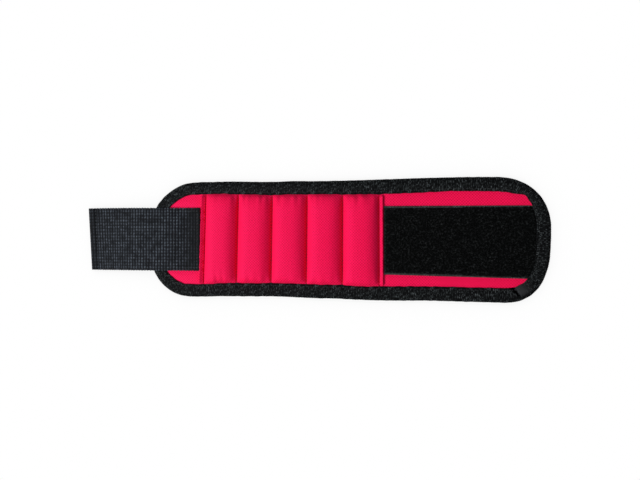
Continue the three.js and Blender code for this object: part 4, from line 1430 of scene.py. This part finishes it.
# Waves about 3 mm long in each direction, bent by longer ones, make small uneven tufts.
felt = FELT * np.sin(x * 2.1 + 1.7 * np.sin(y * 0.9)) * np.sin(y * 2.4 + 1.3 * np.sin(x * 0.7))
points = slab_points(x, y, PATCH_BASE + (PATCH_GROUND + felt) * full, PATCH_BASE - PATCH_SINK)
ruler = points[:, :2].copy()
ruler[x.size:] = ruler[x.size:] * (1, WALL_STRETCH) - (PATCH_GROUND, 0)
patch = make_piece("loop_patch", points, slab_quads(*x.shape), loop_ground, ruler)


def in_selvedge(middle):
    """Picks the faces along the patch's long sides, in a strip that narrows towards the right."""
    low_side, high_side = patch_sides(middle[:, 0])
    to_side = np.minimum(middle[:, 1] - low_side, high_side - middle[:, 1])
    return to_side < SELVEDGE * (1 - SELVEDGE_NARROWING * smooth(middle[:, 0], *NARROWING_FROM_TO))


second_material(patch, selvedge_knit, in_selvedge(face_middles(patch)))
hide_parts("inner_loop_patch", "outer_loop_patch")
blend_over_fold(patch)
print("patch is", round(patch_end - PATCH_START), "mm long with what the binding covers")

# %% [markdown]
# ## Loops of the patch
# The loops stand on a grid that is made uneven by fixed random steps. They leave the selvedges free, and
# they are one piece on each side of the fold, so that each piece stays small.

# %% Loops of the patch
PILE_PITCH = 0.92
PILE_RADIUS = 0.55
PILE_YARN = 0.09
PILE_LIFT = 0.25
PILE_JITTER = 0.4
PILE_MARGIN = 1.2
PILE_START = math.radians(-35)
PILE_SWEEP = math.radians(250)
PANEL_FOLD = joint_line["panel_fold"]
rng = np.random.default_rng(5)
rows = np.arange(PATCH_START + SELVEDGE, patch_end, PILE_PITCH)
columns = np.arange(PILE_MARGIN * PATCH_LOW, PILE_MARGIN * PATCH_HIGH, PILE_PITCH)
grid_x, grid_y = (grid + rng.uniform(-PILE_JITTER, PILE_JITTER, grid.shape) * PILE_PITCH
                  for grid in np.meshgrid(rows, columns))
low_side, high_side = patch_sides(grid_x)
inside = depth_in_band(grid_x, grid_y) > PATCH_FULL_FROM
inside &= (grid_y > low_side + SELVEDGE) & (grid_y < high_side - SELVEDGE)
grid_x, grid_y = grid_x[inside], grid_y[inside]
pile_points = np.stack([grid_x, grid_y, np.full_like(grid_x, PATCH_BASE + PATCH_GROUND + PILE_LIFT)], -1)
for place, chosen in enumerate((grid_x < PANEL_FOLD, grid_x >= PANEL_FOLD)):
    pile = scatter(f"loop_pile_{place + 1}", pile_points[chosen])
    run_tree(pile, loop_tree, radius=PILE_RADIUS * MM, yarn=PILE_YARN * MM, start_angle=PILE_START,
             sweep=PILE_SWEEP, tip_over=0.0, spin=2 * math.pi, seed=11 + place, material=loop_ground)
    blend_over_fold(pile)
print("loops drawn:", len(pile_points))

# %% [markdown]
# ## Hook tape
# The hook half is sewn under the free length of the strap. It is a stiff nylon tape with rows of bent
# filament, and a little shinier than the webbing. It follows the strap's underside with a small gap, and
# its hooks hang down, face one way and lean a little.

# %% Hook tape
HOOK_BASE = 0.75
HOOK_COLUMNS = 61
HOOK_ROWS = 24
HOOK_PITCH = 1.5
HOOK_RADIUS = 0.42
HOOK_YARN = 0.11
HOOK_SUNK = 0.5
HOOK_START = math.radians(-60)
HOOK_SWEEP = math.radians(215)
HOOK_GAP = 0.25
FIRST_HOOK = 1.2
LAST_HOOK = 0.8
hook_low, hook_high = box_mm("hook_tape")
x = np.linspace(hook_low[0], hook_high[0], HOOK_COLUMNS)
y = np.linspace(hook_low[1], hook_high[1], HOOK_ROWS)[:, None]
x, y = np.broadcast_arrays(x, y)
top = strap_bottom(x) - HOOK_GAP
points = slab_points(x, y, top, top - HOOK_BASE)
hook_base = make_piece("hook_tape_base", points, slab_quads(*x.shape), hook_nylon, points[:, :2])
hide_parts("hook_tape")
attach(hook_base, "strap")
grid_x, grid_y = np.meshgrid(*[np.arange(low + FIRST_HOOK, high - LAST_HOOK, HOOK_PITCH)
                               for low, high in zip(hook_low[:2], hook_high[:2])])
root = strap_bottom(grid_x) - HOOK_GAP - HOOK_BASE - HOOK_SUNK * HOOK_RADIUS
hooks = scatter("hook_rows", np.stack([grid_x, grid_y, root], -1).reshape(-1, 3))
run_tree(hooks, loop_tree, radius=HOOK_RADIUS * MM, yarn=HOOK_YARN * MM, start_angle=HOOK_START,
         sweep=HOOK_SWEEP, tip_over=math.pi, spin=0.0, seed=3, material=hook_nylon)
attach(hooks, "strap")
print("hooks drawn:", grid_x.size)

# %% [markdown]
# ## Stitches
# Every layer here is held by lockstitch, so rows of thread show along the binding, in the grooves
# between pockets, round the loop patch and on the strap. A stitch is a short bar of thread that dips
# into the cloth at both ends. The tree steps along a line by the length of a stitch and lays one
# drawn-out bead of thread at each step, turned along the line.

# %% Tree for stitches
BEAD_SIDES = 6
STITCH_SHARE = 0.8
stitch_tree, given = start_tree("stitches", ["Pitch", "Length", "Thickness"])
path = add_node(stitch_tree, "GeometryNodeMeshToCurve", {"Mesh": given["Geometry"]})
steps = add_node(stitch_tree, "GeometryNodeResampleCurve", {"Curve": path, "Length": given["Pitch"]},
                 mode="LENGTH")
ahead = add_node(stitch_tree, "GeometryNodeInputTangent")
facing = add_node(stitch_tree, "FunctionNodeAlignRotationToVector", {"Vector": ahead}, axis="X")
bead = add_node(stitch_tree, "GeometryNodeMeshUVSphere",
                {"Segments": BEAD_SIDES, "Rings": BEAD_SIDES, "Radius": 0.5})
lie = add_node(stitch_tree, "GeometryNodeTransform",
               {"Geometry": bead.outputs["Mesh"], "Rotation": (0, math.pi / 2, 0)})
bar = add_node(stitch_tree, "ShaderNodeCombineXYZ",
               {"X": given["Length"], "Y": given["Thickness"], "Z": given["Thickness"]})
drawn = add_node(stitch_tree, "GeometryNodeTransform", {"Geometry": lie, "Scale": bar})
laid = add_node(stitch_tree, "GeometryNodeInstanceOnPoints",
                {"Points": steps, "Instance": drawn, "Rotation": facing})
end_tree(stitch_tree, given, laid)


def sew(name, rows, thread, pitch, thickness=0.42):
    """Stitches along rows of points in mm. One stitch is as long as most of the pitch."""
    points = np.concatenate(rows)
    ends = np.cumsum([len(row) for row in rows])
    edges = [(place, place + 1) for place in range(len(points) - 1) if place + 1 not in ends]
    piece = scatter(name, points, edges)
    run_tree(piece, stitch_tree, pitch=pitch * MM, length=STITCH_SHARE * pitch * MM,
             thickness=thickness * MM, material=thread)
    return piece


print("one stitch is a bead of", BEAD_SIDES ** 2, "faces")

# %% [markdown]
# ## Rows on the pockets and the binding
# Crimson thread lies at the bottom of each groove between two pockets. Black thread runs all round the
# binding, near its inner edge. A lockstitch shows on both sides of the cloth, so that row is laid on the
# outer side and on the wrist side. Where the folded end of the tape stands up, the row climbs with it.

# %% Stitches of the pockets and the binding
GROOVE_END = 33.6
GROOVE_THREAD = 0.6
GROOVE_POINTS = 60
SEW_IN = 7.9
SEW_TOP = 4.86
SEW_UNDER = 0.3
SEW_STEP = 0.5
TAPE_STITCH = 3.0
groove_y = np.linspace(-GROOVE_END, GROOVE_END, GROOVE_POINTS)
for number, seam in enumerate(seams, 1):
    x = seam + lean(seam, groove_y)
    row = np.stack([x, groove_y, np.full_like(x, SEWN_LEVEL)], -1)
    groove = sew(f"groove_stitches_{number}", [row], red_thread, STITCH, GROOVE_THREAD)
    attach(groove, f"pocket_{min(number, 5)}")

for span, start, end in strips:
    length = np.linspace(start + SEW_STEP, end - SEW_STEP, round((end - start) / SEW_STEP))
    place, outward = on_edge(length)
    inward = across_tape(length, SEW_IN)[:, 0]
    flat = place - outward * (inward - tape_out(length))[:, None]
    dip = (SEW_TOP - GAP_LEVEL) * gap_at(length, inward)
    rows = [np.column_stack([flat, SEW_TOP + fold_at(length, inward) - dip]),
            np.column_stack([flat, np.full(len(flat), SEW_UNDER)])]
    side = "lower" if place[0, 1] < 0 else "upper"
    seam_row = sew(f"tape_stitches_{side}_{span}", rows, black_thread, TAPE_STITCH)
    blend_over_fold(seam_row)
print("rows of stitches on the tape:", 2 * len(strips))

# %% [markdown]
# ## Rows on the strap and the patch
# A box of stitches holds the strap on the left panel, and one row holds its hem. The loop patch is sewn
# along three sides, and its fourth side is caught under the binding. Thread lies a little above the cloth,
# except in the hem's row, which is drawn down into a groove.

# %% Stitches of the strap and the patch
STRAP_STITCH = 2.6
BOX_INSET = 2.4
BOX_LEFT = -104.0
BOX_POINTS = 20
BOX_PROUD = 0.2
HEM_ROW_INSET = 0.8
HEM_ROW_SKEW = 0.9
HEM_ROW_POINTS = 40
HEM_ROW_PROUD = 0.15
PATCH_ROW_INSET = SELVEDGE * 0.6
PATCH_ROW_PROUD = 0.1
PATCH_LONG_POINTS = 200
PATCH_SHORT_POINTS = 60
box_x = (STRAP_START - BOX_INSET, BOX_LEFT)
box_y = (STRAP_LOW + BOX_INSET, STRAP_HIGH - BOX_INSET)
corners = np.array([(box_x[0], box_y[0]), (box_x[0], box_y[1]),
                    (box_x[1], box_y[1]), (box_x[1], box_y[0])])
along = np.linspace(0, 1, BOX_POINTS)[:, None]
rows = [start + (end - start) * along for start, end in zip(corners, np.roll(corners, -1, axis=0))]
rows = [np.column_stack([row, strap_bottom(row[:, 0]) + STRAP_THICK + BOX_PROUD]) for row in rows]
box_row = sew("strap_box_stitches", rows, black_thread, STRAP_STITCH)
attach(box_row, "left_end")
hem_y = np.linspace(STRAP_LOW + HEM_ROW_INSET, STRAP_HIGH - HEM_ROW_INSET, HEM_ROW_POINTS)
hem_x = hem_line + HEM_ROW_SKEW * SKEW * (STRAP_HIGH - hem_y) / (STRAP_HIGH - STRAP_LOW)
hem_z = strap_bottom(hem_x) + STRAP_THICK - HEM_DIP + HEM_ROW_PROUD
hem_row = sew("strap_hem_stitches", [np.stack([hem_x, hem_y, hem_z], -1)], black_thread,
              STRAP_STITCH)
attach(hem_row, "strap")

x = np.linspace(PATCH_START + PATCH_ROW_INSET, BAND_RIGHT - 2 * LIP_INSET, PATCH_LONG_POINTS)
low = np.maximum(patch_sides(x)[0], -half_at(x, LIP_INSET, -1)) + PATCH_ROW_INSET
high = np.minimum(patch_sides(x)[1], half_at(x, LIP_INSET, 1)) - PATCH_ROW_INSET
top = PATCH_BASE + PATCH_GROUND + PATCH_ROW_PROUD
left_y = np.linspace(low[0], high[0], PATCH_SHORT_POINTS)
patch_rows = [np.stack([x, side, np.full_like(x, top)], -1) for side in (low, high)]
patch_rows.append(np.stack([np.full_like(left_y, x[0]), left_y, np.full_like(left_y, top)], -1))
patch_row = sew("patch_stitches", patch_rows, black_thread, STRAP_STITCH)
blend_over_fold(patch_row)
print("patch stitched on three sides")
